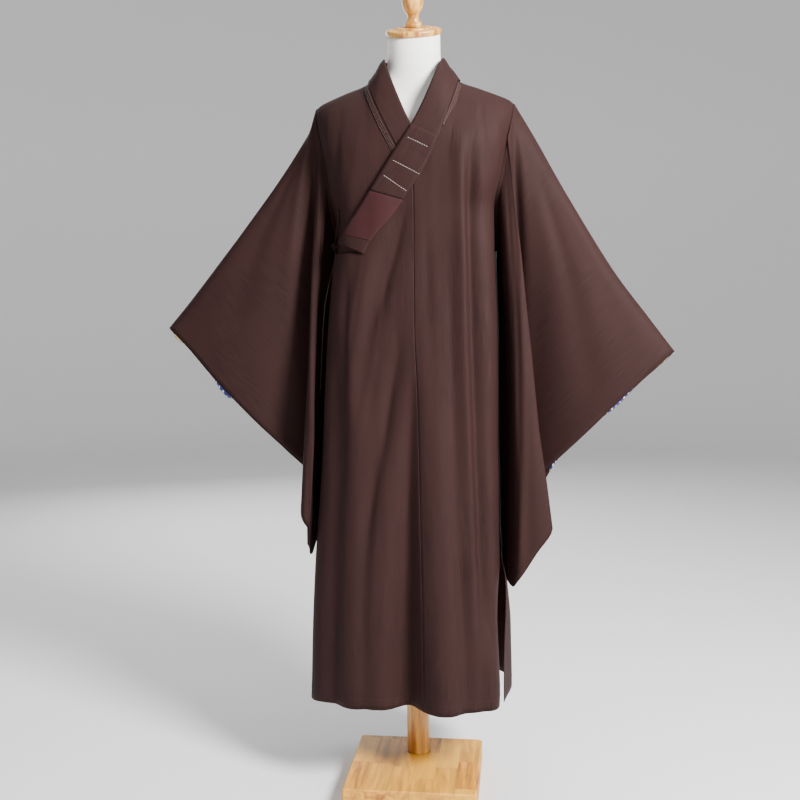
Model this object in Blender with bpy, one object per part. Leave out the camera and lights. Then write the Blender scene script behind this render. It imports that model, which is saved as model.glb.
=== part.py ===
"""A wide-sleeved buddhist monk robe, hanging on a limbless dress form stand.

World frame, metres: +Z up, the front faces -Y, the wearer's left is +X.
The origin is the middle of the stand base's underside.
"""
import math

import bmesh
import bpy
import numpy as np
from mathutils import Vector
from mathutils.bvhtree import BVHTree

# ---- driving dimensions -------------------------------------------------------------------
MM = 0.001
AXIS_Y = 0.066  # the pole and the robe's middle, behind the base's middle

CLOTH = 1.5 * MM  # wall of every cut piece
SEAM_GAP = 0.3 * MM  # between two pieces that are sewn edge to edge
LAYER_LIFT = 5.0 * MM  # the overlap lies this far outside the front below it

NECK_X = 0.096  # where the collar leaves the shoulder line
FULL_DEPTH_Z = 1.35  # the chest reaches its full depth here
ARMPIT_Z = 1.16
ARMHOLE_HALF_DEPTH = 0.052
SLIT_TOP_Z = 0.50
SQUARENESS = 0.08  # 0 is an ellipse in plan, more is squarer

UPPER_ROWS = 10  # wall rows between the shoulder line and the armpit
LOWER_ROWS = 14  # wall rows between the armpit and the hem
SLEEVE_ROWS = 10  # wall rows between the armhole and the cuff

BASE_SIZE = 0.280
BASE_HEIGHT = 0.050
POLE_RADIUS = 0.025
FORM_BOTTOM_Z = 0.80
NECK_RADIUS = 0.0555
NECK_TOP_Z = 1.603
CAP_TILT = math.radians(20)  # the neck is cut off sloping down to the front

# Robe in plan at each height: half widths to either side, depth before and behind the axis.
BODY_SECTIONS = (
    # z, half_right, half_left, front, back
    (0.16, 0.232, 0.180, 0.145, 0.160),
    (0.35, 0.224, 0.179, 0.144, 0.152),
    (0.50, 0.216, 0.179, 0.141, 0.146),
    (0.65, 0.204, 0.177, 0.137, 0.140),
    (0.80, 0.194, 0.174, 0.133, 0.135),
    (0.95, 0.185, 0.174, 0.130, 0.130),
    (1.10, 0.172, 0.169, 0.128, 0.126),
    (1.17, 0.163, 0.166, 0.127, 0.124),
    (1.25, 0.171, 0.168, 0.126, 0.122),
    (1.32, 0.180, 0.185, 0.123, 0.119),
    (1.40, 0.196, 0.199, 0.119, 0.116),
    (1.47, 0.208, 0.210, 0.116, 0.112),
    (1.60, 0.208, 0.210, 0.114, 0.110),
)

# Height of the shoulder line, and of the collar's top inside NECK_X.
SHOULDER_LINE = (
    # x, z
    (0.000, 1.580),
    (0.040, 1.575),
    (0.062, 1.562),
    (0.078, 1.537),
    (0.096, 1.516),
    (0.140, 1.499),
    (0.182, 1.483),
    (0.200, 1.475),
    (0.212, 1.466),
)

# Folds of the body cloth: where each runs, how wide it is, how far it stands out (or in).
BODY_FOLDS = (
    # side, z_top, z_end, x_top, x_mid, x_end, width_top, width_end, push, grows
    ("front", 0.93, 0.10, 0.010, -0.016, -0.004, 0.010, 0.036, -0.042, 1.0),
    ("front", 1.10, 0.10, 0.040, 0.052, 0.075, 0.030, 0.060, 0.036, 1.0),
    ("front", 0.80, 0.10, -0.050, -0.058, -0.070, 0.020, 0.035, 0.010, 0.6),
    ("front", 1.38, 0.12, 0.104, 0.112, 0.165, 0.016, 0.026, 0.013, 0.2),
    ("front", 1.34, 0.38, 0.124, 0.130, 0.150, 0.013, 0.014, -0.021, 0.0),
    ("front", 1.30, 0.20, 0.160, 0.163, 0.168, 0.014, 0.018, 0.010, 0.0),
    ("front", 0.98, 0.10, -0.150, -0.163, -0.168, 0.014, 0.026, -0.014, 0.6),
    ("front", 0.90, 0.10, -0.110, -0.112, -0.118, 0.022, 0.034, 0.010, 0.6),
    ("front", 1.14, 0.84, -0.084, -0.126, -0.118, 0.018, 0.018, 0.007, 0.0),
    ("front", 1.28, 1.00, -0.006, -0.036, -0.078, 0.022, 0.022, -0.006, 0.0),
    ("front", 0.96, 0.58, -0.022, -0.058, -0.088, 0.018, 0.018, -0.006, 0.0),
    ("front", 0.56, 0.16, 0.100, 0.102, 0.104, 0.014, 0.020, -0.010, 0.3),
    ("back", 1.32, 0.10, -0.150, -0.156, -0.176, 0.016, 0.026, 0.014, 0.5),
    ("back", 1.26, 0.10, -0.112, -0.116, -0.128, 0.014, 0.024, -0.016, 0.5),
    ("back", 1.18, 0.10, -0.062, -0.070, -0.078, 0.018, 0.030, 0.014, 0.6),
    ("back", 1.10, 0.10, -0.020, -0.016, -0.026, 0.012, 0.024, -0.013, 0.8),
    ("back", 1.22, 0.10, 0.026, 0.034, 0.040, 0.016, 0.030, 0.015, 0.7),
    ("back", 1.28, 0.10, 0.078, 0.080, 0.090, 0.014, 0.024, -0.015, 0.5),
    ("back", 1.34, 0.10, 0.122, 0.130, 0.146, 0.016, 0.026, 0.013, 0.4),
)

# The crossed collar in front, from the neck down; the band's two edges seen from the front.
OVER_COLLAR = (
    # outer_x, outer_z, inner_x, inner_z
    (0.0960, 1.517, 0.0620, 1.5640),
    (0.0900, 1.485, 0.0520, 1.5280),
    (0.0810, 1.450, 0.0400, 1.4900),
    (0.0600, 1.386, 0.0050, 1.4130),
    (0.0310, 1.322, -0.0280, 1.3600),
    (-0.0010, 1.274, -0.0670, 1.2980),
    (-0.0270, 1.236, -0.0980, 1.2500),
    (-0.0560, 1.203, -0.1240, 1.2130),
    (-0.0760, 1.178, -0.1370, 1.1930),
    (-0.0900, 1.152, -0.1460, 1.1780),
)
UNDER_COLLAR = (
    # outer_x, outer_z, inner_x, inner_z
    (-0.0930, 1.518, -0.0580, 1.5600),
    (-0.0800, 1.480, -0.0440, 1.5240),
    (-0.0640, 1.443, -0.0290, 1.4870),
    (-0.0400, 1.396, 0.0050, 1.4130),
    (-0.0100, 1.340, 0.0400, 1.3560),
)
COLLAR_BACK_FOOT_Z = 1.512

# Rays of each sleeve, from a place on the armhole to a place on the cuff. Half rows count the
# armhole from the shoulder (0) to the armpit (20) in front, and on to the shoulder behind (40).
SLEEVE_LEFT_RAYS = (
    # half_row, cuff_x, cuff_dy, cuff_z
    (0.0, 0.549, 0.000, 0.946),
    (1.0, 0.541, -0.012, 0.940),
    (2.0, 0.512, -0.022, 0.915),
    (3.5, 0.439, -0.030, 0.848),
    (5.0, 0.364, -0.030, 0.772),
    (6.3, 0.288, -0.020, 0.694),
    (7.4, 0.246, -0.002, 0.645),
    (8.6, 0.264, -0.052, 0.612),
    (10.0, 0.294, -0.088, 0.580),
    (11.6, 0.262, -0.100, 0.530),
    (13.2, 0.232, -0.100, 0.482),
    (15.0, 0.210, -0.080, 0.452),
    (17.0, 0.198, -0.044, 0.462),
    (20.0, 0.196, 0.000, 0.500),
    (23.0, 0.202, 0.040, 0.480),
    (26.0, 0.236, 0.072, 0.500),
    (29.0, 0.275, 0.084, 0.560),
    (31.0, 0.262, 0.044, 0.625),
    (33.0, 0.306, 0.036, 0.700),
    (35.0, 0.372, 0.044, 0.772),
    (36.5, 0.442, 0.036, 0.842),
    (38.0, 0.516, 0.022, 0.909),
    (39.0, 0.543, 0.012, 0.936),
    (40.0, 0.549, 0.000, 0.946),
)
SLEEVE_RIGHT_RAYS = (
    # half_row, cuff_x, cuff_dy, cuff_z
    (0.0, -0.552, 0.000, 1.001),
    (1.0, -0.544, -0.012, 0.995),
    (2.0, -0.512, -0.022, 0.966),
    (3.5, -0.440, -0.032, 0.886),
    (5.0, -0.354, -0.034, 0.795),
    (6.3, -0.288, -0.026, 0.724),
    (7.4, -0.240, 0.002, 0.664),
    (8.4, -0.234, -0.036, 0.640),
    (9.6, -0.246, -0.070, 0.612),
    (11.0, -0.234, -0.090, 0.582),
    (12.2, -0.218, -0.086, 0.560),
    (13.6, -0.230, -0.076, 0.536),
    (15.2, -0.219, -0.070, 0.514),
    (17.2, -0.223, -0.042, 0.506),
    (20.0, -0.229, 0.000, 0.540),
    (23.0, -0.231, 0.040, 0.520),
    (26.0, -0.236, 0.074, 0.548),
    (28.2, -0.246, 0.088, 0.592),
    (29.8, -0.258, 0.072, 0.626),
    (31.2, -0.250, 0.044, 0.664),
    (33.0, -0.298, 0.032, 0.728),
    (35.0, -0.372, 0.044, 0.806),
    (36.5, -0.446, 0.036, 0.884),
    (38.0, -0.516, 0.022, 0.960),
    (39.0, -0.546, 0.012, 0.990),
    (40.0, -0.552, 0.000, 1.001),
)
# How far a sleeve's upper edge sags under a straight line, along its length.
SLEEVE_LEFT_SAG = ((0.0, 0.0), (0.10, 0.004), (0.30, 0.018), (0.60, 0.028), (0.85, 0.012), (1.0, 0.0))
SLEEVE_RIGHT_SAG = ((0.0, 0.0), (0.06, 0.030), (0.20, 0.034), (0.50, 0.026), (0.85, 0.010), (1.0, 0.0))

# Dress form in plan at each height: half width, depth before and behind the axis.
FORM_SECTIONS = (
    # z, half_width, front, back
    (0.800, 0.150, 0.095, 0.100),
    (0.830, 0.162, 0.102, 0.110),
    (0.900, 0.166, 0.106, 0.114),
    (1.000, 0.156, 0.098, 0.104),
    (1.080, 0.142, 0.092, 0.096),
    (1.180, 0.144, 0.092, 0.096),
    (1.280, 0.154, 0.098, 0.098),
    (1.350, 0.166, 0.096, 0.094),
    (1.410, 0.178, 0.082, 0.084),
    (1.440, 0.184, 0.066, 0.072),
    (1.460, 0.178, 0.056, 0.064),
    (1.475, 0.152, 0.052, 0.060),
    (1.488, 0.116, 0.051, 0.056),
    (1.500, 0.084, 0.051, 0.055),
    (1.515, 0.066, 0.052, 0.055),
    (1.535, 0.058, 0.054, 0.055),
    (1.560, 0.056, 0.055, 0.055),
)
FORM_SIDES = 24

# Turned profiles, from the foot up.
FINIAL_PROFILE = (
    # radius, height
    (0.0175, 0.000),
    (0.0185, 0.003),
    (0.0180, 0.007),
    (0.0140, 0.012),
    (0.0120, 0.020),
    (0.0125, 0.024),
    (0.0170, 0.031),
    (0.0215, 0.041),
    (0.0225, 0.050),
    (0.0205, 0.061),
    (0.0150, 0.071),
    (0.0080, 0.077),
)
CAP_PROFILE = (
    # radius, height
    (0.0560, 0.0000),
    (0.0585, 0.0020),
    (0.0590, 0.0060),
    (0.0580, 0.0105),
    (0.0545, 0.0120),
    (0.0400, 0.0126),
    (0.0380, 0.0150),
    (0.0220, 0.0155),
)

# ---- small helpers ------------------------------------------------------------------------


def smooth(share):
    """0 to 1 with a soft start and end."""
    share = min(1.0, max(0.0, share))
    return share * share * (3.0 - 2.0 * share)


def column(rows, index):
    return [row[index] for row in rows]


def curve(xs, ys, x):
    """A smooth curve through the points of a table, which never overshoots them."""
    if x <= xs[0]:
        return ys[0]
    if x >= xs[-1]:
        return ys[-1]
    i = max(k for k in range(len(xs) - 1) if xs[k] <= x)

    def slope(k):
        if k == 0 or k == len(xs) - 1:
            a = 0 if k == 0 else k - 1
            return (ys[a + 1] - ys[a]) / (xs[a + 1] - xs[a])
        before = (ys[k] - ys[k - 1]) / (xs[k] - xs[k - 1])
        after = (ys[k + 1] - ys[k]) / (xs[k + 1] - xs[k])
        if before * after <= 0:
            return 0.0
        return 2 * before * after / (before + after)

    width = xs[i + 1] - xs[i]
    t = (x - xs[i]) / width
    start = (1 + 2 * t) * (1 - t) ** 2 * ys[i] + t * (1 - t) ** 2 * width * slope(i)
    end = t * t * (3 - 2 * t) * ys[i + 1] - t * t * (1 - t) * width * slope(i + 1)
    return start + end


def read(table, index, x):
    """Column `index` of a table whose first column is x."""
    return curve(column(table, 0), column(table, index), x)


# ---- the body of the robe, as one surface -------------------------------------------------
# across is the angle around the robe, -90 (wearer's right side) to 90 degrees, and down is
# 0 on the shoulder line, 1 where the chest is full and more below. face is -1 in front.


def plan_x(angle):
    return (math.sin(angle) + SQUARENESS * math.sin(3 * angle)) / (1 - SQUARENESS)


def plan_y(angle):
    return (math.cos(angle) - SQUARENESS * math.cos(3 * angle)) / (1 - SQUARENESS)


PLAN_ANGLES = np.radians(np.linspace(0, 90, 181))
PLAN_SHARES = np.array([plan_x(angle) for angle in PLAN_ANGLES])


def turned_angle(angle, widest):
    """The plan angle with the same share of the half width, where the side seam is at widest."""
    if widest > math.radians(89.99):
        return angle
    share = plan_x(abs(angle)) * plan_x(widest)
    return math.copysign(float(np.interp(share, PLAN_SHARES, PLAN_ANGLES)), angle)


def side_half_width(z, angle):
    return read(BODY_SECTIONS, 1 if angle < 0 else 2, z)


def widest_angle(z):
    """Where the side seam lies: at 90 degrees, and nearer the front along the armhole."""
    opening = smooth((z - ARMPIT_Z) / 0.10)
    return math.radians(90 - 30 * opening)


def armhole_half_depth(z):
    return ARMHOLE_HALF_DEPTH * smooth((z - ARMPIT_Z) / 0.15)


def line_top(across):
    """Height of the shoulder line above this part of the robe."""
    angle = math.radians(across)
    top = 1.47
    x = side_half_width(top, angle) * plan_x(angle) / plan_x(math.radians(90))
    return read(SHOULDER_LINE, 1, min(abs(x), SHOULDER_LINE[-1][0]))


def height_at(across, down):
    top = line_top(across)
    reach = top - FULL_DEPTH_Z
    if abs(down) < 1:
        return top - reach * (1 - math.cos(down * math.pi / 2))
    return FULL_DEPTH_Z - (abs(down) - 1) * reach * math.pi / 2


def down_at(across, z):
    """The row value at height z, the inverse of height_at."""
    top = line_top(across)
    reach = top - FULL_DEPTH_Z
    if z > FULL_DEPTH_Z:
        return math.acos(min(1.0, 1 - (top - z) / reach)) * 2 / math.pi
    return 1 + (FULL_DEPTH_Z - z) / (reach * math.pi / 2)


def fold_push(side, x, z):
    """How far the folds move the cloth out of its plain shape here."""
    total = 0.0
    for name, z_top, z_end, x_top, x_mid, x_end, w_top, w_end, push, grows in BODY_FOLDS:
        if name != side or z > z_top + 0.06:
            continue
        run = min(1.0, max(0.0, (z_top - z) / (z_top - z_end)))
        place = (1 - run) ** 2 * x_top + 2 * run * (1 - run) * x_mid + run * run * x_end
        width = w_top + (w_end - w_top) * run
        if abs(x - place) > 3 * width:
            continue
        fade = smooth((z_top + 0.06 - z) / 0.16) * smooth((z - z_end + 0.10) / 0.16)
        size = push * ((1 - grows) + grows * run)
        total += size * fade * math.exp(-(((x - place) / width) ** 2))
    return total


def body_point(across, down, face, lift=0.0):
    """A point of the robe's outer surface. Past 0, down carries on over the shoulder."""
    if down < 0:
        face = -face
    angle = math.radians(across)
    z = height_at(across, down)
    widest = widest_angle(z)
    turned = turned_angle(angle, widest)
    half = side_half_width(z, angle)
    x = half * plan_x(turned) / plan_x(widest)
    edge = armhole_half_depth(z)
    full = read(BODY_SECTIONS, 3 if face < 0 else 4, z)
    round_over = math.sin(min(1.0, abs(down)) * math.pi / 2)
    across_share = (plan_y(turned) - plan_y(widest)) / (1 - plan_y(widest))
    depth = (edge + (full - edge) * across_share) * round_over
    out_x, out_y = plan_x(angle) / half, plan_y(angle) / full
    size = math.hypot(out_x, out_y)
    near, far = ("front", "back") if face < 0 else ("back", "front")
    push = fold_push(near, x, z)
    beside = smooth((abs(across) - 62) / 28) / 2  # front and back move together at the side seam
    if beside > 0:
        push += (fold_push(far, x, z) - push) * beside
    push = push * round_over + lift
    x += out_x / size * push
    depth += out_y / size * push
    return np.array((x, AXIS_Y + face * depth, z))


def body_normal(across, down, face):
    step_across, step_down = 0.5, 0.01
    along = body_point(across + step_across, down, face) - body_point(across - step_across, down, face)
    under = body_point(across, down + step_down, face) - body_point(across, down - step_down, face)
    normal = np.cross(under, along) * (-face)
    return normal / np.linalg.norm(normal)


def across_at(x, z):
    """The angle whose cloth is x from the middle at height z, before the folds."""
    low, high = -90.0, 90.0
    for _ in range(40):
        middle = (low + high) / 2
        angle = math.radians(middle)
        if side_half_width(z, angle) * plan_x(angle) < x:
            low = middle
        else:
            high = middle
    return (low + high) / 2


# ---- meshes and walls ---------------------------------------------------------------------


def material(name, colour, roughness, metallic=0.0):
    made = bpy.data.materials.get(name)
    if made:
        return made
    made = bpy.data.materials.new(name)
    made.use_nodes = True
    shader = made.node_tree.nodes["Principled BSDF"]
    shader.inputs["Base Color"].default_value = (*colour, 1.0)
    shader.inputs["Roughness"].default_value = roughness
    shader.inputs["Metallic"].default_value = metallic
    return made


def add_object(name, points, faces, finish):
    mesh = bpy.data.meshes.new(name)
    mesh.from_pydata([tuple(float(value) for value in point) for point in points], [], faces)
    mesh.validate()
    edit = bmesh.new()
    edit.from_mesh(mesh)
    bmesh.ops.recalc_face_normals(edit, faces=edit.faces)
    edit.to_mesh(mesh)
    edit.free()
    for polygon in mesh.polygons:
        polygon.use_smooth = True
    mesh.materials.append(finish)
    made = bpy.data.objects.new(name, mesh)
    bpy.context.scene.collection.objects.link(made)
    return made


def grid_faces(rows, columns, start, wraps, turned):
    """Triangles over a grid of points; the diagonals all run the same way."""
    faces = []
    last = columns if wraps else columns - 1
    for row in range(rows - 1):
        for place in range(last):
            a = start + row * columns + place
            b = start + row * columns + (place + 1) % columns
            c, d = b + columns, a + columns
            pair = ((a, b, c), (a, c, d))
            for face in pair:
                faces.append(tuple(reversed(face)) if turned else face)
    return faces


def wall(name, outer, inner, finish, wraps=False):
    """A closed wall between two grids of points with the same rows and columns."""
    outer, inner = np.asarray(outer), np.asarray(inner)
    rows, columns = outer.shape[:2]
    count = rows * columns
    points = list(outer.reshape(-1, 3)) + list(inner.reshape(-1, 3))
    faces = grid_faces(rows, columns, 0, wraps, False)
    faces += grid_faces(rows, columns, count, wraps, True)
    rims = []
    last = columns if wraps else columns - 1
    for row in (0, rows - 1):
        rims += [(row * columns + k, row * columns + (k + 1) % columns) for k in range(last)]
    if not wraps:
        for place in (0, columns - 1):
            rims += [(k * columns + place, (k + 1) * columns + place) for k in range(rows - 1)]
    for a, b in rims:
        faces.append((a, b, b + count))
        faces.append((a, b + count, a + count))
    return add_object(name, points, faces, finish)


def unit(vectors):
    """Each vector at length one."""
    return vectors / np.maximum(np.linalg.norm(vectors, axis=-1, keepdims=True), 1e-9)


def grid_normals(points, wraps, flip=False):
    """Normals of a grid of points, from each point's neighbours."""
    points = np.asarray(points)
    steps = unit(np.diff(points, axis=0))
    down = np.concatenate([steps[:1], steps[1:] + steps[:-1], steps[-1:]])
    if wraps:
        steps = unit(np.roll(points, -1, axis=1) - points)
        along = steps + np.roll(steps, 1, axis=1)
    else:
        steps = unit(np.diff(points, axis=1))
        along = np.concatenate([steps[:, :1], steps[:, 1:] + steps[:, :-1], steps[:, -1:]], axis=1)
    normals = unit(np.cross(unit(down), unit(along)))
    return -normals if flip else normals


# ---- body panels --------------------------------------------------------------------------


def seam_x(z):
    """Centre front seam: x at each height."""
    return curve((0.19, 0.35, 0.61, 0.86, 1.00, 1.30), (0.026, 0.025, 0.021, 0.016, 0.011, 0.010), z)


def hem_z(across, face):
    """The hem is cut level, a little lower at the wearer's right side."""
    level = 0.200 - 0.012 * smooth((-across - 40) / 50)
    return level - 0.008 if face > 0 else level


def overlap_lift(across, z):
    """The overlap, and the front sewn to it, lie outside the wearer's right front."""
    return LAYER_LIFT * smooth((72 - across) / 34) * smooth((1.44 - z) / 0.06)


def slit_share(z):
    return smooth((SLIT_TOP_Z - z) / 0.12)


def trimmed_line(rows, share):
    """A line across the front at this share of the collar's width, as x and z, x rising."""
    pairs = [(r[0] + share * (r[2] - r[0]), r[1] + share * (r[3] - r[1])) for r in rows]
    return sorted(pairs)


def line_height(line, x):
    return float(np.interp(x, column(line, 0), column(line, 1)))


COVERED = 0.10  # share of the collar's width that lies over a panel's edge
UPPER_DOWNS = tuple(k / 6 for k in range(7))
UPPER_HEIGHTS = (1.305, 1.26, 1.21, ARMPIT_Z)


def full_downs(across):
    return list(UPPER_DOWNS) + [down_at(across, z) for z in UPPER_HEIGHTS]


def trimmed_top(across_of, line, face):
    """The row value where a column of cloth meets a line drawn across it."""
    low, high = 1.0, line_top(across_of(1.5)) - 0.0005
    for _ in range(40):
        z = (low + high) / 2
        across = across_of(z)
        x = body_point(across, down_at(across, z), face)[0]
        if z < line_height(line, x):
            low = z
        else:
            high = z
    across = across_of(low)
    return down_at(across, low)


def panel_grid(start, end, shares, face, top_line, upper, break_z, lift):
    """Rows and columns of a panel that reaches from angle start(z) to end(z)."""
    grid, normals = [], []
    for share in shares:
        def across_of(z, share=share):
            return start(z) + (end(z) - start(z)) * share

        across = across_of(1.5)
        top = 0.0
        x_top = body_point(across, 0.0, face)[0]
        if top_line and top_line[0][0] - 0.0001 <= x_top <= top_line[-1][0] + 0.0001:
            if abs(x_top) < NECK_X - 0.0005:
                top = trimmed_top(across_of, top_line, face)
        elif top_line and upper < UPPER_ROWS:
            top = trimmed_top(across_of, top_line, face)
        full = full_downs(across)
        break_down = down_at(across_of(break_z), break_z)
        if upper == UPPER_ROWS:
            steps = [value / full[-1] for value in full]
        else:
            steps = [k / upper for k in range(upper + 1)]
        downs = [top + (break_down - top) * step for step in steps]
        hem = hem_z(across_of(0.2), face)
        for k in range(1, LOWER_ROWS + 1):
            z = break_z + (hem - break_z) * k / LOWER_ROWS
            downs.append(down_at(across_of(z), z))
        line, line_normals = [], []
        for down in downs:
            z = height_at(across, down)
            here = across_of(z)
            line.append(body_point(here, down, face, lift(here, z)))
            line_normals.append(body_normal(here, down, face))
        grid.append(line)
        normals.append(line_normals)
    return np.swapaxes(np.array(grid), 0, 1), np.swapaxes(np.array(normals), 0, 1)


def split_shares(angles, counts):
    """Column places from 0 to 1: this many between each angle and the next."""
    places = [angles[0]]
    for start, end, count in zip(angles, angles[1:], counts):
        places += [start + (end - start) * (k + 1) / count for k in range(count)]
    return [(place - angles[0]) / (angles[-1] - angles[0]) for place in places]


def no_lift(across, z):
    return 0.0


def seam_angle(gap_side):
    """Angle of the centre front seam, half a seam gap to one side of it."""
    def angle(z):
        return across_at(seam_x(z) + gap_side * SEAM_GAP / 2, min(z, 1.45))
    return angle


def build_body(cloth):
    """The five body panels. Gives back the armhole edges, where the sleeves are sewn on."""
    side_gap = 0.05  # degrees, half a seam gap at the side
    neck_left = across_at(NECK_X, 1.47)
    neck_right = across_at(-NECK_X, 1.47)
    over_line = trimmed_line(OVER_COLLAR, COVERED)
    under_line = trimmed_line(UNDER_COLLAR, COVERED) + [(0.060, 1.352)]
    back_line = [(-NECK_X, 1.518), (-0.05, 1.516), (0.0, 1.515), (0.05, 1.516), (NECK_X, 1.518)]

    def slit_lift(across, z):
        """The back edge hangs outside the front edge at the wearer's left slit."""
        bell = math.exp(-(((across - 66) / 24) ** 2))
        share = smooth((SLIT_TOP_Z + 0.10 - z) / 0.30)
        past_slit = smooth((SLIT_TOP_Z - z) / 0.05) * smooth((across - 60) / 25)
        return share * 0.026 * bell + past_slit * 0.007

    def front_lift(across, z):
        """The front edge tucks in behind the back edge below the slit."""
        tuck = smooth((SLIT_TOP_Z - z) / 0.14) * smooth((across - 52) / 36)
        return overlap_lift(across, z) - tuck * 0.013

    def front_side(z):
        return 90 - side_gap + 16 * smooth((SLIT_TOP_Z - 0.06 - z) / 0.20)

    def back_side(z):
        return 90 - side_gap + 16 * smooth((SLIT_TOP_Z - 0.06 - z) / 0.20)

    def right_side(z):
        return -(90 - side_gap - 1.2 * slit_share(z))

    def overlap_side(z):
        return -(92 + 4 * slit_share(z))

    def under_edge(z):
        return across_at(0.030, min(z, 1.45))

    start = seam_angle(1)(1.5)
    side = 90 - side_gap
    shares = split_shares((start, neck_left, 43.0, side), (9, 8, 6))
    front_left = panel_grid(
        seam_angle(1), front_side, shares, -1, over_line, UPPER_ROWS, ARMPIT_Z, front_lift
    )
    shares = split_shares((overlap_side(1.5), -38.0, -16.0, seam_angle(-1)(1.5)), (7, 7, 10))
    overlap = panel_grid(
        overlap_side, seam_angle(-1), shares, -1, over_line, 3, 1.08, overlap_lift
    )
    shares = split_shares((-side, neck_right, -14.0, under_edge(1.5)), (10, 3, 8))
    front_right = panel_grid(
        right_side, under_edge, shares, -1, under_line, UPPER_ROWS, ARMPIT_Z, no_lift
    )

    def centre_back(gap_side):
        return lambda z: across_at(gap_side * SEAM_GAP / 2, min(z, 1.45))

    shares = split_shares((0.0, neck_left, side), (6, 11))
    back_left = panel_grid(
        centre_back(1), back_side, shares, 1, back_line, UPPER_ROWS, ARMPIT_Z, slit_lift
    )
    shares = split_shares((-side, neck_right, 0.0), (11, 6))
    back_right = panel_grid(
        right_side, centre_back(-1), shares, 1, back_line, UPPER_ROWS, ARMPIT_Z, no_lift
    )
    panels = {
        "front_left_panel": front_left,
        "front_overlap_panel": overlap,
        "front_right_panel": front_right,
        "back_left_panel": back_left,
        "back_right_panel": back_right,
    }
    edges = {}
    for name, (points, normals) in panels.items():
        ridge_shift = SEAM_GAP / 2 if name.startswith("back") else -SEAM_GAP / 2
        if name != "front_overlap_panel":
            on_ridge = np.abs(points[0, :, 1] - AXIS_Y) < 0.0002
            points[0, on_ridge, 1] += ridge_shift
        inner = points - normals * CLOTH
        wall(name, points, inner, cloth)
        edges[name] = (points, normals)
    return edges


def armhole_loop(front, back, side):
    """Points and normals down the front edge of an armhole and up its back edge."""
    place = -1 if side > 0 else 0

    def half_rows(values):
        rows = values[: UPPER_ROWS + 1, place]
        halves = []
        for k in range(UPPER_ROWS):
            halves += [rows[k], (rows[k] + rows[k + 1]) / 2]
        return halves + [rows[UPPER_ROWS]]

    points = half_rows(front[0]) + half_rows(back[0])[::-1]
    normals = half_rows(front[1]) + half_rows(back[1])[::-1]
    last = 4 * UPPER_ROWS + 1
    middle = 2 * UPPER_ROWS
    top = (points[0] + points[last]) / 2
    low = (points[middle] + points[middle + 1]) / 2
    points = [top] + points[1:middle] + [low] + points[middle + 2:last]
    normals = [normals[0]] + normals[1:middle] + [normals[middle]] + normals[middle + 2:last]
    return np.array(points), np.array(normals)


def build_sleeve(name, front, back, side, rays, sag, cloth):
    points, normals = armhole_loop(front, back, side)
    normals /= np.linalg.norm(normals, axis=1, keepdims=True)
    around = len(points)
    tangents = np.roll(points, -1, axis=0) - np.roll(points, 1, axis=0)
    tangents /= np.linalg.norm(tangents, axis=1, keepdims=True)
    away = np.cross(normals, tangents) * side
    away /= np.linalg.norm(away, axis=1, keepdims=True)
    first = points + away * SEAM_GAP
    around_places = np.array([min(k, around - k) for k in range(around)])
    raised = np.array([
        0.8 + 3.2 * smooth(place / 7) + 5 * smooth((place - 12) / 6)
        for place in around_places
    ])
    onward = np.array([2.0 - 0.8 * smooth((place - 15) / 4) for place in around_places])
    stand_off = points + (normals * raised[:, None] + away * onward[:, None]) * MM
    cuff = np.array([
        (read(rays, 1, k), AXIS_Y + read(rays, 2, k), read(rays, 3, k)) for k in range(around)
    ])
    rings = [first, stand_off]
    for row in range(1, SLEEVE_ROWS + 1):
        share = (row / SLEEVE_ROWS) ** 1.25
        ring = []
        for k in range(around):
            ray = stand_off[k] + (cuff[k] - stand_off[k]) * share
            from_top = min(k, around - k) / 7
            upper = smooth(1 - from_top)
            ray = ray - np.array((0, 0, 1)) * curve(column(sag, 0), column(sag, 1), share) * upper
            spread = math.sin(math.pi * share)
            face = -1 if k < around / 2 else 1
            fullness = math.sin(math.pi * min(1.0, from_top)) * 0.010 * spread
            near_body = smooth((min(k, around - k) - 10) / 6)
            ray = ray + np.array((side * 0.012 * spread * near_body, face * fullness, 0))
            ring.append(ray)
        rings.append(ring)
    rings = np.array([np.array(ring) for ring in rings])
    around_normals = grid_normals(rings, True, flip=side > 0)
    around_normals[0] = normals
    inner = rings - around_normals * CLOTH
    wall(name, rings, inner, cloth, wraps=True)
    return rings, around_normals


# ---- collar -------------------------------------------------------------------------------


def on_front(x, z, lift):
    """A point over the chest, lifted off the body's surface, and the normal there."""
    across = across_at(x, z)
    for _ in range(6):
        z_here = min(z, line_top(across) - 0.0002)
        across += math.degrees((x - body_point(across, down_at(across, z_here), -1)[0]) / 0.2) * 0.8
    z_here = min(z, line_top(across) - 0.0002)
    down = down_at(across, z_here)
    normal = body_normal(across, down, -1)
    over = overlap_lift(across, z) if lift[1] else 0.0
    return body_point(across, down, -1, over) + normal * lift[0], normal


def collar_stations(rows, steps):
    """The front collar's edges at places along it: pairs of (x, z) for its two edges."""
    places = list(range(len(rows)))
    stations = []
    count = (len(rows) - 1) * steps
    for k in range(count + 1):
        along = k / steps
        outer = (curve(places, column(rows, 0), along), curve(places, column(rows, 1), along))
        inner = (curve(places, column(rows, 2), along), curve(places, column(rows, 3), along))
        stations.append((outer, inner))
    return stations


def band_rows(stations, shares, heights, over):
    """Points over the front, along stations and across the collar at these shares."""
    grid, normals = [], []
    for outer, inner in stations:
        line, line_normals = [], []
        for share, height in zip(shares, heights):
            x = outer[0] + (inner[0] - outer[0]) * share
            z = outer[1] + (inner[1] - outer[1]) * share
            point, normal = on_front(x, z, (height + shoulder_room(z), over))
            line.append(point)
            line_normals.append(normal)
        grid.append(line)
        normals.append(line_normals)
    return np.array(grid), np.array(normals)


def shoulder_room(z):
    """The collar stands a little further off where the shoulder rounds over."""
    return 1.6 * MM * smooth((z - 1.455) / 0.035)


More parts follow.
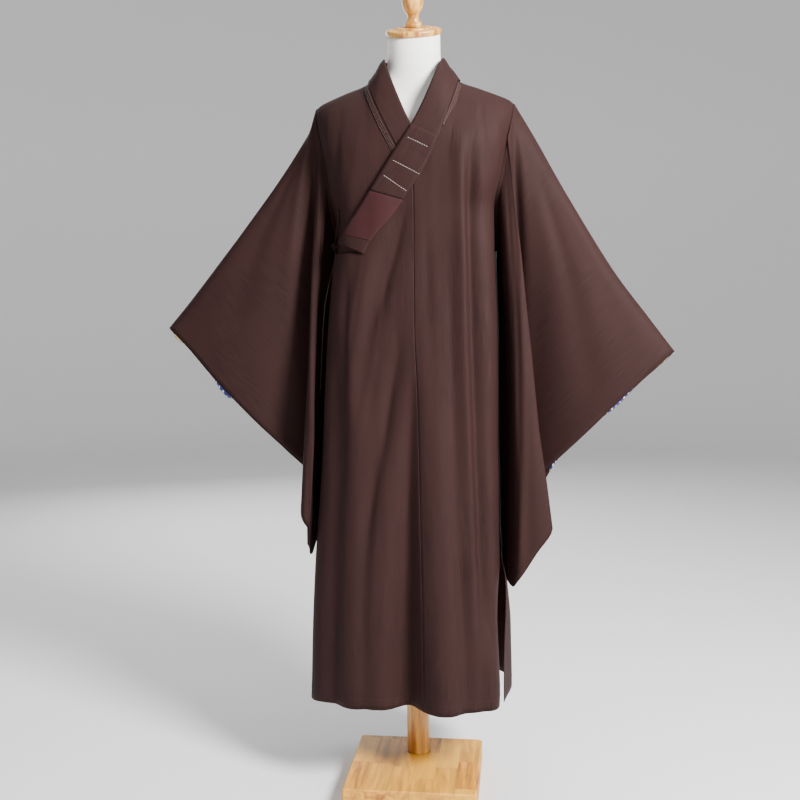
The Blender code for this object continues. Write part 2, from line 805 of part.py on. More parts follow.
BAND_SHARES = (0.0, 0.33, 0.67, 1.0)
BAND_FOOT = 1.0 * MM  # clear space between a panel and the collar on it


def build_collar(cloth, facing_cloth):
    height = BAND_FOOT + CLOTH
    over = collar_stations(OVER_COLLAR, 3)
    under = collar_stations(UNDER_COLLAR, 3)
    over_points, over_normals = band_rows(over, BAND_SHARES, [height] * 4, True)
    under_points, under_normals = band_rows(under, BAND_SHARES, [height] * 4, False)
    turns = 12
    neck, neck_normals = [], []
    for k in range(1, turns):
        turn = math.pi * k / turns
        foot_x, top_x = NECK_X * math.cos(turn), 0.0625 * math.cos(turn)
        foot_z = 1.517 - (1.517 - COLLAR_BACK_FOOT_Z) * math.sin(turn)
        across = across_at(foot_x, 1.45)
        foot = body_point(across, down_at(across, foot_z), 1)
        foot_normal = body_normal(across, down_at(across, foot_z), 1)
        foot = foot + foot_normal * (height + shoulder_room(foot_z))
        top = np.array((top_x, AXIS_Y + 0.068 * math.sin(turn), 1.562 + 0.010 * math.sin(turn)))
        line = []
        for share in BAND_SHARES:
            bow = math.sin(math.pi * share) * 0.002
            line.append(foot + (top - foot) * share + foot_normal * bow)
        neck.append(line)
    grid = np.concatenate([over_points[::-1], np.array(neck), under_points])
    normals = grid_normals(grid, False)
    toward = normals[len(over_points) // 2, 1] @ over_normals[len(over_points) // 2, 1]
    if toward < 0:
        normals = -normals
    normals[: len(over_points) - 2] = over_normals[::-1][: len(over_points) - 2]
    inner = grid - normals * CLOTH
    wall("collar_band", grid, inner, cloth)

    # Stepped folds of cloth along the outer side of the collar.
    for name, stations, is_over, last in (
        ("collar_folds_left", over, True, 8),
        ("collar_folds_right", under, False, 11),
    ):
        rows, inner_rows = [], []
        for outer, inner_edge in stations[1: last + 1]:
            reach = math.hypot(inner_edge[0] - outer[0], inner_edge[1] - outer[1])
            away_x, away_z = (outer[0] - inner_edge[0]) / reach, (outer[1] - inner_edge[1]) / reach
            row, inner_row = [], []
            for distance, rise in FOLD_STEPS:
                x, z = outer[0] + away_x * distance, outer[1] + away_z * distance
                point, normal = on_front(x, z, (shoulder_room(z), is_over))
                row.append(point + normal * rise)
                inner_row.append(point + normal * 0.9 * MM)
            rows.append(row)
            inner_rows.append(inner_row)
        wall(name, rows, inner_rows, cloth)

    # Cloth laid over the band: the stitched patch, then the redder stretch, then the end tab.
    for name, first, last, extra, finish in (
        ("collar_patch", 9, 16, 1.2 * MM, cloth),
        ("collar_lower_facing", 16, 24, 0.8 * MM, facing_cloth),
        ("collar_end_tab", 24, 27, 1.4 * MM, cloth),
    ):
        points = over_points[first: last + 1].copy()
        normals = over_normals[first: last + 1].copy()
        if name != "collar_patch":
            points[0] += (points[1] - points[0]) * 0.05
            normals[0] += (normals[1] - normals[0]) * 0.05
        points, normals = points[::-1], normals[::-1]
        wall(name, points + normals * (SEAM_GAP + extra), points + normals * SEAM_GAP, finish)


FOLD_STEPS = (
    # distance from the band's edge, height over the panel
    (0.3 * MM, 3.1 * MM),
    (4.4 * MM, 3.1 * MM),
    (4.6 * MM, 2.4 * MM),
    (8.6 * MM, 2.4 * MM),
    (8.8 * MM, 1.7 * MM),
    (12.5 * MM, 1.7 * MM),
)

# ---- side tie -----------------------------------------------------------------------------

TAPE = 1.2 * MM
TAPE_WIDTH = 8 * MM
KNOT_HALF_HEIGHT = 10 * MM
KNOT_OUT = 1.2 * MM  # the knot stands this far out from the tail's face
STRAP_ROUTE = (
    # x, z, lift over the wearer's right front
    (-0.1500, 1.246, 2.8 * MM),
    (-0.1510, 1.226, 3.4 * MM),
    (-0.1530, 1.206, 5.2 * MM),
)
TAIL_LIFT = LAYER_LIFT + TAPE + 0.7 * MM
TAIL_ROUTE = (
    # z, across
    (1.160, -61.0),
    (1.130, -64.0),
    (1.080, -68.0),
    (1.020, -72.0),
    (0.960, -75.0),
    (0.910, -77.0),
    (0.866, -78.0),
)


def tape(name, route, normals, width, finish):
    """A flat tape along a route, with the given face normals."""
    route, normals = np.array(route), np.array(normals)
    run = np.gradient(route, axis=0)
    sideways = np.cross(run, normals)
    sideways /= np.linalg.norm(sideways, axis=1, keepdims=True)
    normals = np.cross(sideways, run)
    normals /= np.linalg.norm(normals, axis=1, keepdims=True)
    outer = np.stack([route - sideways * width / 2, route + sideways * width / 2], axis=1)
    thick = np.stack([normals, normals], axis=1) * TAPE
    wall(name, outer, outer - thick, finish)


def build_tie(cloth):
    rows = sorted(TAIL_ROUTE)
    count = 14
    route, normals = [], []
    for k in range(count):
        z = TAIL_ROUTE[0][0] + (TAIL_ROUTE[-1][0] - TAIL_ROUTE[0][0]) * k / (count - 1)
        across = read(rows, 1, z)
        route.append(body_point(across, down_at(across, z), -1, TAIL_LIFT))
        normals.append(body_normal(across, down_at(across, z), -1))
    tape("tie_tail", route, normals, TAPE_WIDTH, cloth)

    up = np.array((0, 0, 1))
    knot = route[0] + normals[0] * KNOT_OUT + up * (KNOT_HALF_HEIGHT + SEAM_GAP)
    points = []
    around, levels = 12, 7
    for level in range(1, levels):
        height = math.pi * level / levels
        for k in range(around):
            turn = 2 * math.pi * k / around
            pinch = 1 - 0.10 * math.cos(2 * turn) * math.sin(height)
            points.append(knot + np.array((
                8.0 * MM * math.sin(height) * math.cos(turn) * pinch,
                6.5 * MM * math.sin(height) * math.sin(turn),
                -KNOT_HALF_HEIGHT * math.cos(height),
            )))
    faces = grid_faces(levels - 1, around, 0, True, False)
    points += [knot - up * KNOT_HALF_HEIGHT, knot + up * KNOT_HALF_HEIGHT]
    low, high = len(points) - 2, len(points) - 1
    top_row = (levels - 2) * around
    for k in range(around):
        faces.append((low, (k + 1) % around, k))
        faces.append((high, top_row + k, top_row + (k + 1) % around))
    add_object("tie_knot", points, faces, cloth)

    route, normals = [], []
    places = list(range(len(STRAP_ROUTE)))
    for k in range(8):
        along = k * places[-1] / 7
        x, z, lift = (curve(places, column(STRAP_ROUTE, index), along) for index in range(3))
        point, normal = on_front(x, z, (lift, False))
        route.append(point)
        normals.append(normal)
    knot_top = knot + up * (KNOT_HALF_HEIGHT + TAPE + SEAM_GAP)
    for share in (0.5, 1.0):
        route.append(route[7] + (knot_top - route[7]) * share)
        normals.append(normals[7])
    tape("tie_strap", route, normals, TAPE_WIDTH, cloth)


# ---- dress form and stand -----------------------------------------------------------------


def stacked(name, rings, finish, smooth_shade=True):
    """A closed solid through rings of points, with flat ends."""
    around = len(rings[0])
    points = [point for ring in rings for point in ring]
    faces = grid_faces(len(rings), around, 0, True, False)
    low = [tuple(sum(p[i] for p in rings[0]) / around for i in range(3))]
    high = [tuple(sum(p[i] for p in rings[-1]) / around for i in range(3))]
    points += low + high
    first, last = len(points) - 2, len(points) - 1
    top_row = (len(rings) - 1) * around
    for k in range(around):
        faces.append((first, (k + 1) % around, k))
        faces.append((last, top_row + k, top_row + (k + 1) % around))
    made = add_object(name, points, faces, finish)
    if not smooth_shade:
        for polygon in made.data.polygons:
            polygon.use_smooth = False
    return made


def tilted(x, y, height, raised):
    """A place on the tilted neck cap: x and y across it, height over its foot."""
    lean = CAP_TILT
    return (
        x,
        AXIS_Y + y * math.cos(lean) - height * math.sin(lean),
        NECK_TOP_Z + raised + y * math.sin(lean) + height * math.cos(lean),
    )


def turned(name, profile, sides, foot, raised, finish):
    rings = []
    for radius, height in profile:
        ring = []
        for k in range(sides):
            turn = 2 * math.pi * k / sides
            ring.append(tilted(radius * math.cos(turn), radius * math.sin(turn), foot + height, raised))
        rings.append(ring)
    return stacked(name, rings, finish)


def form_rings(raised):
    rings = []
    for z, half, front, back in FORM_SECTIONS:
        squared = SQUARENESS * smooth((1.47 - z) / 0.05)
        ring = []
        for k in range(FORM_SIDES):
            turn = 2 * math.pi * k / FORM_SIDES
            x = (math.cos(turn) - squared * math.cos(3 * turn)) / (1 - squared)
            y = (math.sin(turn) + squared * math.sin(3 * turn)) / (1 - squared)
            ring.append((half * x, AXIS_Y + (back if y > 0 else front) * y, z + raised))
        rings.append(ring)
    ring = []
    for k in range(FORM_SIDES):
        turn = 2 * math.pi * k / FORM_SIDES
        ring.append(tilted(NECK_RADIUS * math.cos(turn), NECK_RADIUS * math.sin(turn), 0, raised))
    return rings + [ring]


def world_tree(made):
    mesh = made.data
    points = [vertex.co.copy() for vertex in mesh.vertices]
    return BVHTree.FromPolygons(points, [tuple(polygon.vertices) for polygon in mesh.polygons]), points


def settled_height(form, carried):
    """How far the form must rise so the cloth on it rests a seam gap above its shoulders."""
    form_tree, form_points = world_tree(form)
    closest = 1.0
    above, downwards = 2.0, Vector((0, 0, -1))
    for name in carried:
        tree, points = world_tree(bpy.data.objects[name])
        for point in points:
            hit = form_tree.ray_cast(Vector((point.x, point.y, above)), downwards)
            if hit[0] is not None and point.z > 1.42:
                closest = min(closest, point.z - hit[0].z)
        for point in form_points:
            hit = tree.ray_cast(Vector((point.x, point.y, above)), downwards)
            if hit[0] is not None and point.z > 1.42:
                under = tree.ray_cast(hit[0] + downwards * 0.1 * MM, downwards)
                if under[0] is not None and hit[0].z - under[0].z < 4 * CLOTH:
                    closest = min(closest, under[0].z - point.z)
    trees = [world_tree(bpy.data.objects[name])[0] for name in carried]
    faces = [tuple(polygon.vertices) for polygon in form.data.polygons]
    raised = closest
    for _ in range(60):
        lifted = [point + Vector((0, 0, raised + SEAM_GAP)) for point in form_points]
        lifted_tree = BVHTree.FromPolygons(lifted, faces)
        if not any(lifted_tree.overlap(tree) for tree in trees):
            break
        raised -= SEAM_GAP
    return raised


def build_stand(linen, wood, base_wood):
    form = stacked("dress_form", form_rings(0.0), linen)
    raised = settled_height(
        form, ("front_left_panel", "front_right_panel", "back_left_panel", "back_right_panel")
    )
    bpy.data.objects.remove(form)
    stacked("dress_form", form_rings(raised), linen)
    turned("neck_cap", CAP_PROFILE, 28, SEAM_GAP, raised, wood)
    cap_top = SEAM_GAP + CAP_PROFILE[-1][1]
    turned("finial", FINIAL_PROFILE, 18, cap_top + SEAM_GAP, raised, wood)

    sides = 28
    rings = []
    for radius, z in (
        (POLE_RADIUS - 0.001, BASE_HEIGHT + SEAM_GAP),
        (POLE_RADIUS, BASE_HEIGHT + SEAM_GAP + 0.002),
        (POLE_RADIUS, FORM_BOTTOM_Z + raised - SEAM_GAP),
    ):
        turns = [2 * math.pi * k / sides for k in range(sides)]
        rings.append([(radius * math.cos(t), AXIS_Y + radius * math.sin(t), z) for t in turns])
    stacked("stand_pole", rings, wood)

    bevel = 0.003
    half = BASE_SIZE / 2
    rings = []
    for inset, z in ((bevel, 0.0), (0.0, bevel), (0.0, BASE_HEIGHT - bevel), (bevel, BASE_HEIGHT)):
        ring = []
        for sign_x, sign_y in ((1, 1), (-1, 1), (-1, -1), (1, -1)):
            edge, cut = half - inset, half - inset - 0.004
            corner = [(edge * sign_x, cut * sign_y), (cut * sign_x, edge * sign_y)]
            if sign_x * sign_y < 0:
                corner.reverse()
            ring += [(x, y, z) for x, y in corner]
        rings.append(ring)
    stacked("stand_base", rings, base_wood, smooth_shade=False)


def main():
    for old in list(bpy.data.objects):
        bpy.data.objects.remove(old)
    cloth = material("brown_robe_cloth", (0.075, 0.042, 0.038), 0.72)
    facing_cloth = material("redder_brown_cloth", (0.085, 0.035, 0.035), 0.74)
    linen = material("white_linen", (0.86, 0.84, 0.80), 0.85)
    wood = material("turned_light_wood", (0.60, 0.36, 0.14), 0.45)
    base_wood = material("pale_laminated_wood", (0.66, 0.45, 0.23), 0.55)
    panels = build_body(cloth)
    build_sleeve(
        "sleeve_left", panels["front_left_panel"], panels["back_left_panel"], 1,
        SLEEVE_LEFT_RAYS, SLEEVE_LEFT_SAG, cloth,
    )
    build_sleeve(
        "sleeve_right", panels["front_right_panel"], panels["back_right_panel"], -1,
        SLEEVE_RIGHT_RAYS, SLEEVE_RIGHT_SAG, cloth,
    )
    build_collar(cloth, facing_cloth)
    build_tie(cloth)
    build_stand(linen, wood, base_wood)


main()
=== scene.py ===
import math

import bpy
import numpy as np
from mathutils import Matrix, Vector


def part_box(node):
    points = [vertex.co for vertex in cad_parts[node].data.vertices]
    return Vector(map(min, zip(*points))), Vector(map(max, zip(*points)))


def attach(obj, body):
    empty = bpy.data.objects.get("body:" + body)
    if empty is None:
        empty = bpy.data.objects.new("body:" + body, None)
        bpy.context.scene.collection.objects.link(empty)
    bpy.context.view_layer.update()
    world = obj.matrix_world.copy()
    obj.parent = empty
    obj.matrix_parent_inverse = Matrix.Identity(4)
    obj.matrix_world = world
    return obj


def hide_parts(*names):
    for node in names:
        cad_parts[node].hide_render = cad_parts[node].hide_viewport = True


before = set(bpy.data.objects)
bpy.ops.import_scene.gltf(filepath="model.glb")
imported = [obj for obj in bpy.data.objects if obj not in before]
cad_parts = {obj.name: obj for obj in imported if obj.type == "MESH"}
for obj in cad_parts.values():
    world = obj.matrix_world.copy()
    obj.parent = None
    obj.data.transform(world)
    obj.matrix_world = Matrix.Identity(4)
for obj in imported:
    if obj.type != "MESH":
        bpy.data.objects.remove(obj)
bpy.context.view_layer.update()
print("stage: frame loaded,", len(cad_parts), "nodes")

# Metres, +Z up; the front faces -Y and the wearer's left is +X, as in the frame.
# The tables are in millimetres, and inMetres turns them.
mm = 0.001
axisY = 0.066  # the pole and the robe's middle
seamGap = 0.3 * mm

robe = {
    "clothWall": 1.0 * mm,
    "overlapLift": 5.0 * mm,  # the overlap lies this far outside the front below it
    "squareness": 0.08,  # 0 is an ellipse in plan
    "fullDepthZ": 1.35,
    "armpitZ": 1.16,
    "armholeHalfDepth": 0.052,
    "widthZ": 1.47,  # the shoulder line's half widths are read here
    "shoulderZ": 1.45,  # the seams and edges stay upright above this
    "creaseFreeZ": 1.44,  # the shoulders are pulled smooth from here up
    "slitTopZ": 0.50,
    "hemZ": 0.200,
    "neckX": 0.096,
    "upperRows": 60,  # rows from the shoulder line to the armpit, a multiple of 10
    "lowerRows": 72,
    "columnFactor": 3,
    "rumple": 0.7 * mm,  # how much the cloth wavers between its folds
}


def inMetres(rows, plain=()):
    # a table turned from millimetres, but for its plain columns
    table = np.array(rows, float)
    metres = np.round(table * mm, 6)
    metres[:, list(plain)] = table[:, list(plain)]
    return metres


# Robe in plan: half widths to either side, depth before and behind the axis.
bodySections = inMetres((
    # z, halfRight, halfLeft, front, back
    (160, 232, 180, 145, 160), (350, 224, 179, 144, 152), (500, 216, 179, 141, 146),
    (650, 204, 177, 137, 140), (800, 194, 174, 133, 135), (950, 185, 174, 130, 130),
    (1100, 172, 169, 128, 126), (1170, 163, 166, 127, 124), (1250, 171, 168, 126, 122),
    (1320, 180, 185, 123, 119), (1400, 196, 199, 119, 116), (1470, 208, 210, 116, 112),
    (1600, 208, 210, 114, 110),
))
shoulderLine = inMetres((
    # x, z
    (0, 1580), (40, 1575), (62, 1562), (78, 1537), (96, 1516), (140, 1499), (182, 1483), (200, 1475),
    (212, 1466),
))

# Folds, then finer creases: where each runs, how wide it is, how far it stands out (or in),
# and how much of that it only gains on its way down.
folds = {
    "front": inMetres((
        # zTop, zEnd, xTop, xMid, xEnd, widthTop, widthEnd, push, grows
        (930, 100, 10, -16, -4, 10, 36, -42, 1), (1100, 100, 40, 52, 75, 30, 60, 36, 1),
        (800, 100, -50, -58, -70, 20, 35, 10, 0.6), (1380, 120, 104, 112, 165, 16, 26, 13, 0.2),
        (1340, 380, 124, 130, 150, 13, 14, -21, 0), (1300, 200, 160, 163, 168, 14, 18, 10, 0),
        (980, 100, -150, -163, -168, 14, 26, -14, 0.6), (900, 100, -110, -112, -118, 22, 34, 10, 0.6),
        (1140, 840, -84, -126, -118, 18, 18, 7, 0), (1280, 1000, -6, -36, -78, 22, 22, -6, 0),
        (960, 580, -22, -58, -88, 18, 18, -6, 0), (560, 160, 100, 102, 104, 14, 20, -10, 0.3),
        (1130, 930, -90, -106, -124, 6, 10, -2.4, 0), (1240, 1020, -6, -32, -68, 6, 10, -2.2, 0),
        (950, 600, -24, -54, -84, 7, 11, -2.6, 0), (1080, 780, -56, -74, -102, 6, 10, 2, 0),
        (1100, 660, -128, -136, -142, 7, 12, -3, 0), (780, 400, -60, -72, -80, 8, 12, 2.2, 0),
        (620, 160, -92, -96, -100, 9, 14, -3, 0.5), (520, 140, -136, -144, -152, 10, 16, 3.4, 0.5),
        (700, 140, -186, -192, -198, 8, 14, -3, 0.5), (1260, 720, 146, 150, 156, 10, 12, -2.6, 0),
        (1200, 520, 172, 174, 176, 8, 10, 1.8, 0), (1100, 460, 82, 88, 94, 8, 12, -2.4, 0),
        (1200, 900, 36, 40, 46, 9, 12, -1.6, 0), (620, 140, 136, 139, 143, 8, 12, -3.4, 0.3),
        (440, 120, 50, 53, 56, 10, 14, 2.6, 0.5), (1440, 1200, 146, 158, 168, 6, 10, -2.4, 0),
        (1460, 1260, 178, 180, 180, 5, 8, 2, 0), (1440, 1180, -146, -156, -164, 6, 10, -2.6, 0),
        (1460, 1240, -172, -174, -172, 5, 8, 2, 0), (1420, 1260, -100, -112, -124, 8, 12, 1.8, 0),
    ), plain=(8,)),
    "back": inMetres((
        (1320, 100, -150, -156, -176, 16, 26, 14, 0.5), (1260, 100, -112, -116, -128, 14, 24, -16, 0.5),
        (1180, 100, -62, -70, -78, 18, 30, 14, 0.6), (1100, 100, -20, -16, -26, 12, 24, -13, 0.8),
        (1220, 100, 26, 34, 40, 16, 30, 15, 0.7), (1280, 100, 78, 80, 90, 14, 24, -15, 0.5),
        (1340, 100, 122, 130, 146, 16, 26, 13, 0.4),
        (1400, 1100, -140, -148, -158, 6, 10, -2.4, 0), (1200, 700, -88, -92, -96, 7, 11, 2.4, 0),
        (1100, 300, -42, -44, -48, 7, 12, -2.6, 0.4), (1060, 440, 6, 10, 12, 7, 11, -2.2, 0.3),
        (1160, 600, 56, 58, 62, 6, 10, 2.2, 0), (840, 140, 104, 108, 114, 8, 14, -3, 0.5),
        (1420, 1140, 136, 146, 156, 6, 10, -2.4, 0), (900, 140, -168, -172, -180, 8, 14, -2.8, 0.4),
    ), plain=(8,)),
}

overCollar = inMetres((
    # outerX, outerZ, innerX, innerZ
    (96, 1517, 62, 1564), (90, 1485, 52, 1528), (81, 1450, 40, 1490), (60, 1386, 5, 1413),
    (31, 1322, -28, 1360), (-1, 1274, -67, 1298), (-27, 1236, -98, 1250), (-56, 1203, -124, 1213),
    (-76, 1178, -137, 1193), (-90, 1152, -146, 1178),
))
underCollar = inMetres((
    (-93, 1518, -58, 1560), (-80, 1480, -44, 1524), (-64, 1443, -29, 1487), (-40, 1396, 5, 1413),
    (-10, 1340, 40, 1356),
))

# Each sleeve's rays, from a half row of the armhole to a place on the cuff: 1 is the
# wearer's left and -1 the right.
sleeveRays = {
    1: inMetres((
        # halfRow, cuffX, cuffDy, cuffZ
        (0, 549, 0, 946), (1, 541, -12, 940), (2, 512, -22, 915), (3.5, 439, -30, 848), (5, 364, -30, 772),
        (6.3, 288, -20, 694), (7.4, 246, -2, 645), (8.6, 264, -52, 612), (10, 294, -88, 580),
        (11.6, 262, -100, 530), (13.2, 232, -100, 482), (15, 210, -80, 452), (17, 198, -44, 462),
        (20, 196, 0, 500), (23, 202, 40, 480), (26, 236, 72, 500), (29, 267, 82, 560), (31, 272, 52, 625),
        (33, 306, 36, 700), (35, 372, 44, 772), (36.5, 442, 36, 842), (38, 516, 22, 909),
        (39, 543, 12, 936), (40, 549, 0, 946),
    ), plain=(0,)),
    -1: inMetres((
        (0, -552, 0, 1001), (1, -544, -12, 995), (2, -512, -22, 966), (3.5, -440, -32, 886),
        (5, -354, -34, 795), (6.3, -288, -26, 724), (7.4, -240, 2, 664), (8.4, -234, -36, 640),
        (9.6, -246, -70, 612), (11, -234, -90, 582), (12.2, -218, -86, 560), (13.6, -230, -76, 536),
        (15.2, -219, -70, 514), (17.2, -223, -42, 506), (20, -229, 0, 540), (23, -231, 40, 520),
        (26, -236, 74, 548), (28.2, -246, 88, 592), (29.8, -258, 72, 626), (31.2, -250, 44, 664),
        (33, -298, 32, 728), (35, -372, 44, 806), (36.5, -446, 36, 884), (38, -516, 22, 960),
        (39, -546, 12, 990), (40, -552, 0, 1001),
    ), plain=(0,)),
}
# How far the sleeve's upper edge sags, from the share of its length.
sleeveSag = {
    1: inMetres(((0, 0), (0.10, 4), (0.30, 18), (0.60, 28), (0.85, 12), (1, 0)), plain=(0,)),
    -1: inMetres(((0, 0), (0.06, 30), (0.20, 34), (0.50, 26), (0.85, 10), (1, 0)), plain=(0,)),
}


def smooth(share):
    share = np.clip(share, 0.0, 1.0)
    return share * share * (3.0 - 2.0 * share)


def curve(xs, ys, x):
    # a smooth curve through a table's points that never overshoots them
    x = np.clip(x, xs[0], xs[-1])
    k = np.clip(np.searchsorted(xs, x, side="right") - 1, 0, len(xs) - 2)
    width = np.diff(xs)
    rise = np.diff(ys) / width
    before, after = rise[:-1], rise[1:]
    bends = before * after > 0
    inner = np.where(bends, 2 * before * after / np.where(bends, before + after, 1.0), 0.0)
    slope = np.concatenate([rise[:1], inner, rise[-1:]])
    w = width[k]
    t = (x - xs[k]) / w
    start = (1 + 2 * t) * (1 - t) ** 2 * ys[k] + t * (1 - t) ** 2 * w * slope[k]
    return start + t * t * (3 - 2 * t) * ys[k + 1] - t * t * (1 - t) * w * slope[k + 1]


def read(table, index, x):
    return curve(table[:, 0], table[:, index], x)


def hump(x, middle, width):
    return np.exp(-(((x - middle) / width) ** 2))


def halved(low, high, steps, tooLow):
    # closes in on the place where tooLow turns false
    for _ in range(steps):
        middle = (low + high) / 2
        under = tooLow(middle)
        low, high = np.where(under, middle, low), np.where(under, high, middle)
    return low, high


def unit(vectors):
    return vectors / np.maximum(np.linalg.norm(vectors, axis=-1, keepdims=True), 1e-9)


# The body of the robe as one surface: across is the angle round it, down is 0 on the
# shoulder line and 1 where the chest is full, and face is -1 in front.
def planX(angle):
    return (np.sin(angle) + robe["squareness"] * np.sin(3 * angle)) / (1 - robe["squareness"])


def planY(angle):
    return (np.cos(angle) - robe["squareness"] * np.cos(3 * angle)) / (1 - robe["squareness"])


planAngles = np.radians(np.linspace(0, 90, 181))
planShares = planX(planAngles)


def turnedAngle(angle, widest):
    share = planX(np.abs(angle)) * planX(widest)
    turned = np.copysign(np.interp(share, planShares, planAngles), angle)
    return np.where(widest > math.radians(89.99), angle, turned)


def sideHalfWidth(z, angle):
    return np.where(angle < 0, read(bodySections, 1, z), read(bodySections, 2, z))


def fullDepth(z, face):
    return np.where(face < 0, read(bodySections, 3, z), read(bodySections, 4, z))


def widestAngle(z):
    return np.radians(90 - 30 * smooth((z - robe["armpitZ"]) / 0.10))


def lineTop(across):
    angle = np.radians(across)
    x = sideHalfWidth(robe["widthZ"], angle) * planX(angle) / planX(math.radians(90))
    return read(shoulderLine, 1, np.abs(x))


def heightAt(across, down):
    top = lineTop(across)
    reach = top - robe["fullDepthZ"]
    rounded = top - reach * (1 - np.cos(down * math.pi / 2))
    straight = robe["fullDepthZ"] - (np.abs(down) - 1) * reach * math.pi / 2
    return np.where(np.abs(down) < 1, rounded, straight)


def downAt(across, z):
    top = lineTop(across)
    reach = top - robe["fullDepthZ"]
    rounded = np.arccos(np.clip(1 - (top - z) / reach, -1.0, 1.0)) * 2 / math.pi
    return np.where(z > robe["fullDepthZ"], rounded, 1 + (robe["fullDepthZ"] - z) / (reach * math.pi / 2))


rumpleWaves = (
    # wave across, wave down, turn of the wave, share
    (0.071, 0.43, 0.4, 0.40), (0.047, -0.31, 2.1, 0.30), (0.029, 0.57, 4.0, 0.20), (0.113, -0.21, 5.2, 0.40),
)


def rumple(u, v):
    # long soft wavering that never repeats
    total = 0.0
    for wide, tall, turn, share in rumpleWaves:
        bend = 1.7 * np.sin(v * 5.0 + turn)
        total = total + share * np.sin(2 * math.pi * (u / wide + v / tall) + turn + bend)
    return total * robe["rumple"]


def foldPush(side, x, z):
    apart = 0.31 if side == "back" else 0.0  # so the back doesn't waver with the front
    total = rumple(x + apart, z) * smooth((robe["creaseFreeZ"] - z) / 0.12)
    for zTop, zEnd, xTop, xMid, xEnd, widthTop, widthEnd, push, grows in folds[side]:
        run = np.clip((zTop - z) / (zTop - zEnd), 0.0, 1.0)
        place = (1 - run) ** 2 * xTop + 2 * run * (1 - run) * xMid + run * run * xEnd
        width = widthTop + (widthEnd - widthTop) * run
        fade = smooth((zTop + 0.06 - z) / 0.16) * smooth((z - zEnd + 0.10) / 0.16)
        size = push * ((1 - grows) + grows * run)
        total = total + size * fade * hump(x, place, width)
    return total


def bodyPoint(across, down, face, lift=0.0):
    # places on the robe; past the shoulder line down is negative and the face turns over
    across, down = np.broadcast_arrays(np.asarray(across, float), np.asarray(down, float))
    face = np.where(down < 0, -face, face)
    angle = np.radians(across)
    z = heightAt(across, down)
    widest = widestAngle(z)
    turned = turnedAngle(angle, widest)
    half = sideHalfWidth(z, angle)
    x = half * planX(turned) / planX(widest)
    edge = robe["armholeHalfDepth"] * smooth((z - robe["armpitZ"]) / 0.15)
    full = fullDepth(z, face)
    roundOver = np.sin(np.minimum(1.0, np.abs(down)) * math.pi / 2)
    share = (planY(turned) - planY(widest)) / (1 - planY(widest))
    depth = (edge + (full - edge) * share) * roundOver
    outX, outY = planX(angle) / half, planY(angle) / full
    size = np.hypot(outX, outY)
    front, back = foldPush("front", x, z), foldPush("back", x, z)
    near, far = np.where(face < 0, front, back), np.where(face < 0, back, front)
    beside = smooth((np.abs(across) - 62) / 28) / 2  # front and back move together at the side
    push = (near + (far - near) * beside) * roundOver + lift
    return np.stack([x + outX / size * push, axisY + face * (depth + outY / size * push), z], axis=-1)


def bodyNormal(across, down, face):
    along = bodyPoint(across + 0.25, down, face) - bodyPoint(across - 0.25, down, face)
    under = bodyPoint(across, down + 0.005, face) - bodyPoint(across, down - 0.005, face)
    return unit(np.cross(under, along) * -face)


def acrossAt(x, z):
    # the angle whose cloth is x from the middle at height z
    x, z = np.broadcast_arrays(np.asarray(x, float), np.asarray(z, float))

    def inside(across):
        angle = np.radians(across)
        return sideHalfWidth(z, angle) * planX(angle) < x

    low, high = halved(np.full(x.shape, -90.0), np.full(x.shape, 90.0), 40, inside)
    return (low + high) / 2


def meshVolume(mesh):
    mesh.calc_loop_triangles()
    points = np.zeros(len(mesh.vertices) * 3)
    mesh.vertices.foreach_get("co", points)
    corners = np.zeros(len(mesh.loop_triangles) * 3, int)
    mesh.loop_triangles.foreach_get("vertices", corners)
    a, b, c = (points.reshape(-1, 3)[corners.reshape(-1, 3)[:, k]] for k in range(3))
    return float(np.einsum("ij,ij->i", a, np.cross(b, c)).sum() / 6)


def addMesh(name, points, faces, finish, grain=None):
    mesh = bpy.data.meshes.new(name)
    mesh.from_pydata(np.reshape(points, (-1, 3)).tolist(), [], [tuple(map(int, face)) for face in faces])
    mesh.polygons.foreach_set("use_smooth", [True] * len(mesh.polygons))
    if grain is not None:
        threads = mesh.attributes.new("grain", "FLOAT_VECTOR", "POINT")
        threads.data.foreach_set("vector", np.asarray(grain, np.float32).ravel())
    mesh.materials.append(finish)
    mesh.update()
    if meshVolume(mesh) < 0:  # the faces look outward
        mesh.flip_normals()
    made = bpy.data.objects.new(name, mesh)
    bpy.context.scene.collection.objects.link(made)
    return made


def gridFaces(rows, columns, start=0, wraps=True, turned=False):
    k, j = np.meshgrid(np.arange(rows - 1), np.arange(columns if wraps else columns - 1), indexing="ij")
    a = start + k * columns + j
    b = start + k * columns + (j + 1) % columns
    faces = np.stack([a, b, b + columns, a + columns], axis=-1).reshape(-1, 4)
    return list(faces[:, ::-1] if turned else faces)


def gridNormals(points, wraps, flip=False):
    steps = unit(np.diff(points, axis=0))
    down = np.concatenate([steps[:1], steps[1:] + steps[:-1], steps[-1:]])
    if wraps:
        steps = unit(np.roll(points, -1, axis=1) - points)
        along = steps + np.roll(steps, 1, axis=1)
    else:
        steps = unit(np.diff(points, axis=1))
        along = np.concatenate([steps[:, :1], steps[:, 1:] + steps[:, :-1], steps[:, -1:]], axis=1)
    normals = unit(np.cross(unit(down), unit(along)))
    return -normals if flip else normals


def walked(path):
    # the length walked along a path at each of its points
    return np.concatenate([[0], np.cumsum(np.linalg.norm(np.diff(path, axis=0), axis=1))])


def pathAt(places, run, path):
    return np.stack([np.interp(places, run, path[:, k]) for k in range(3)], axis=-1)


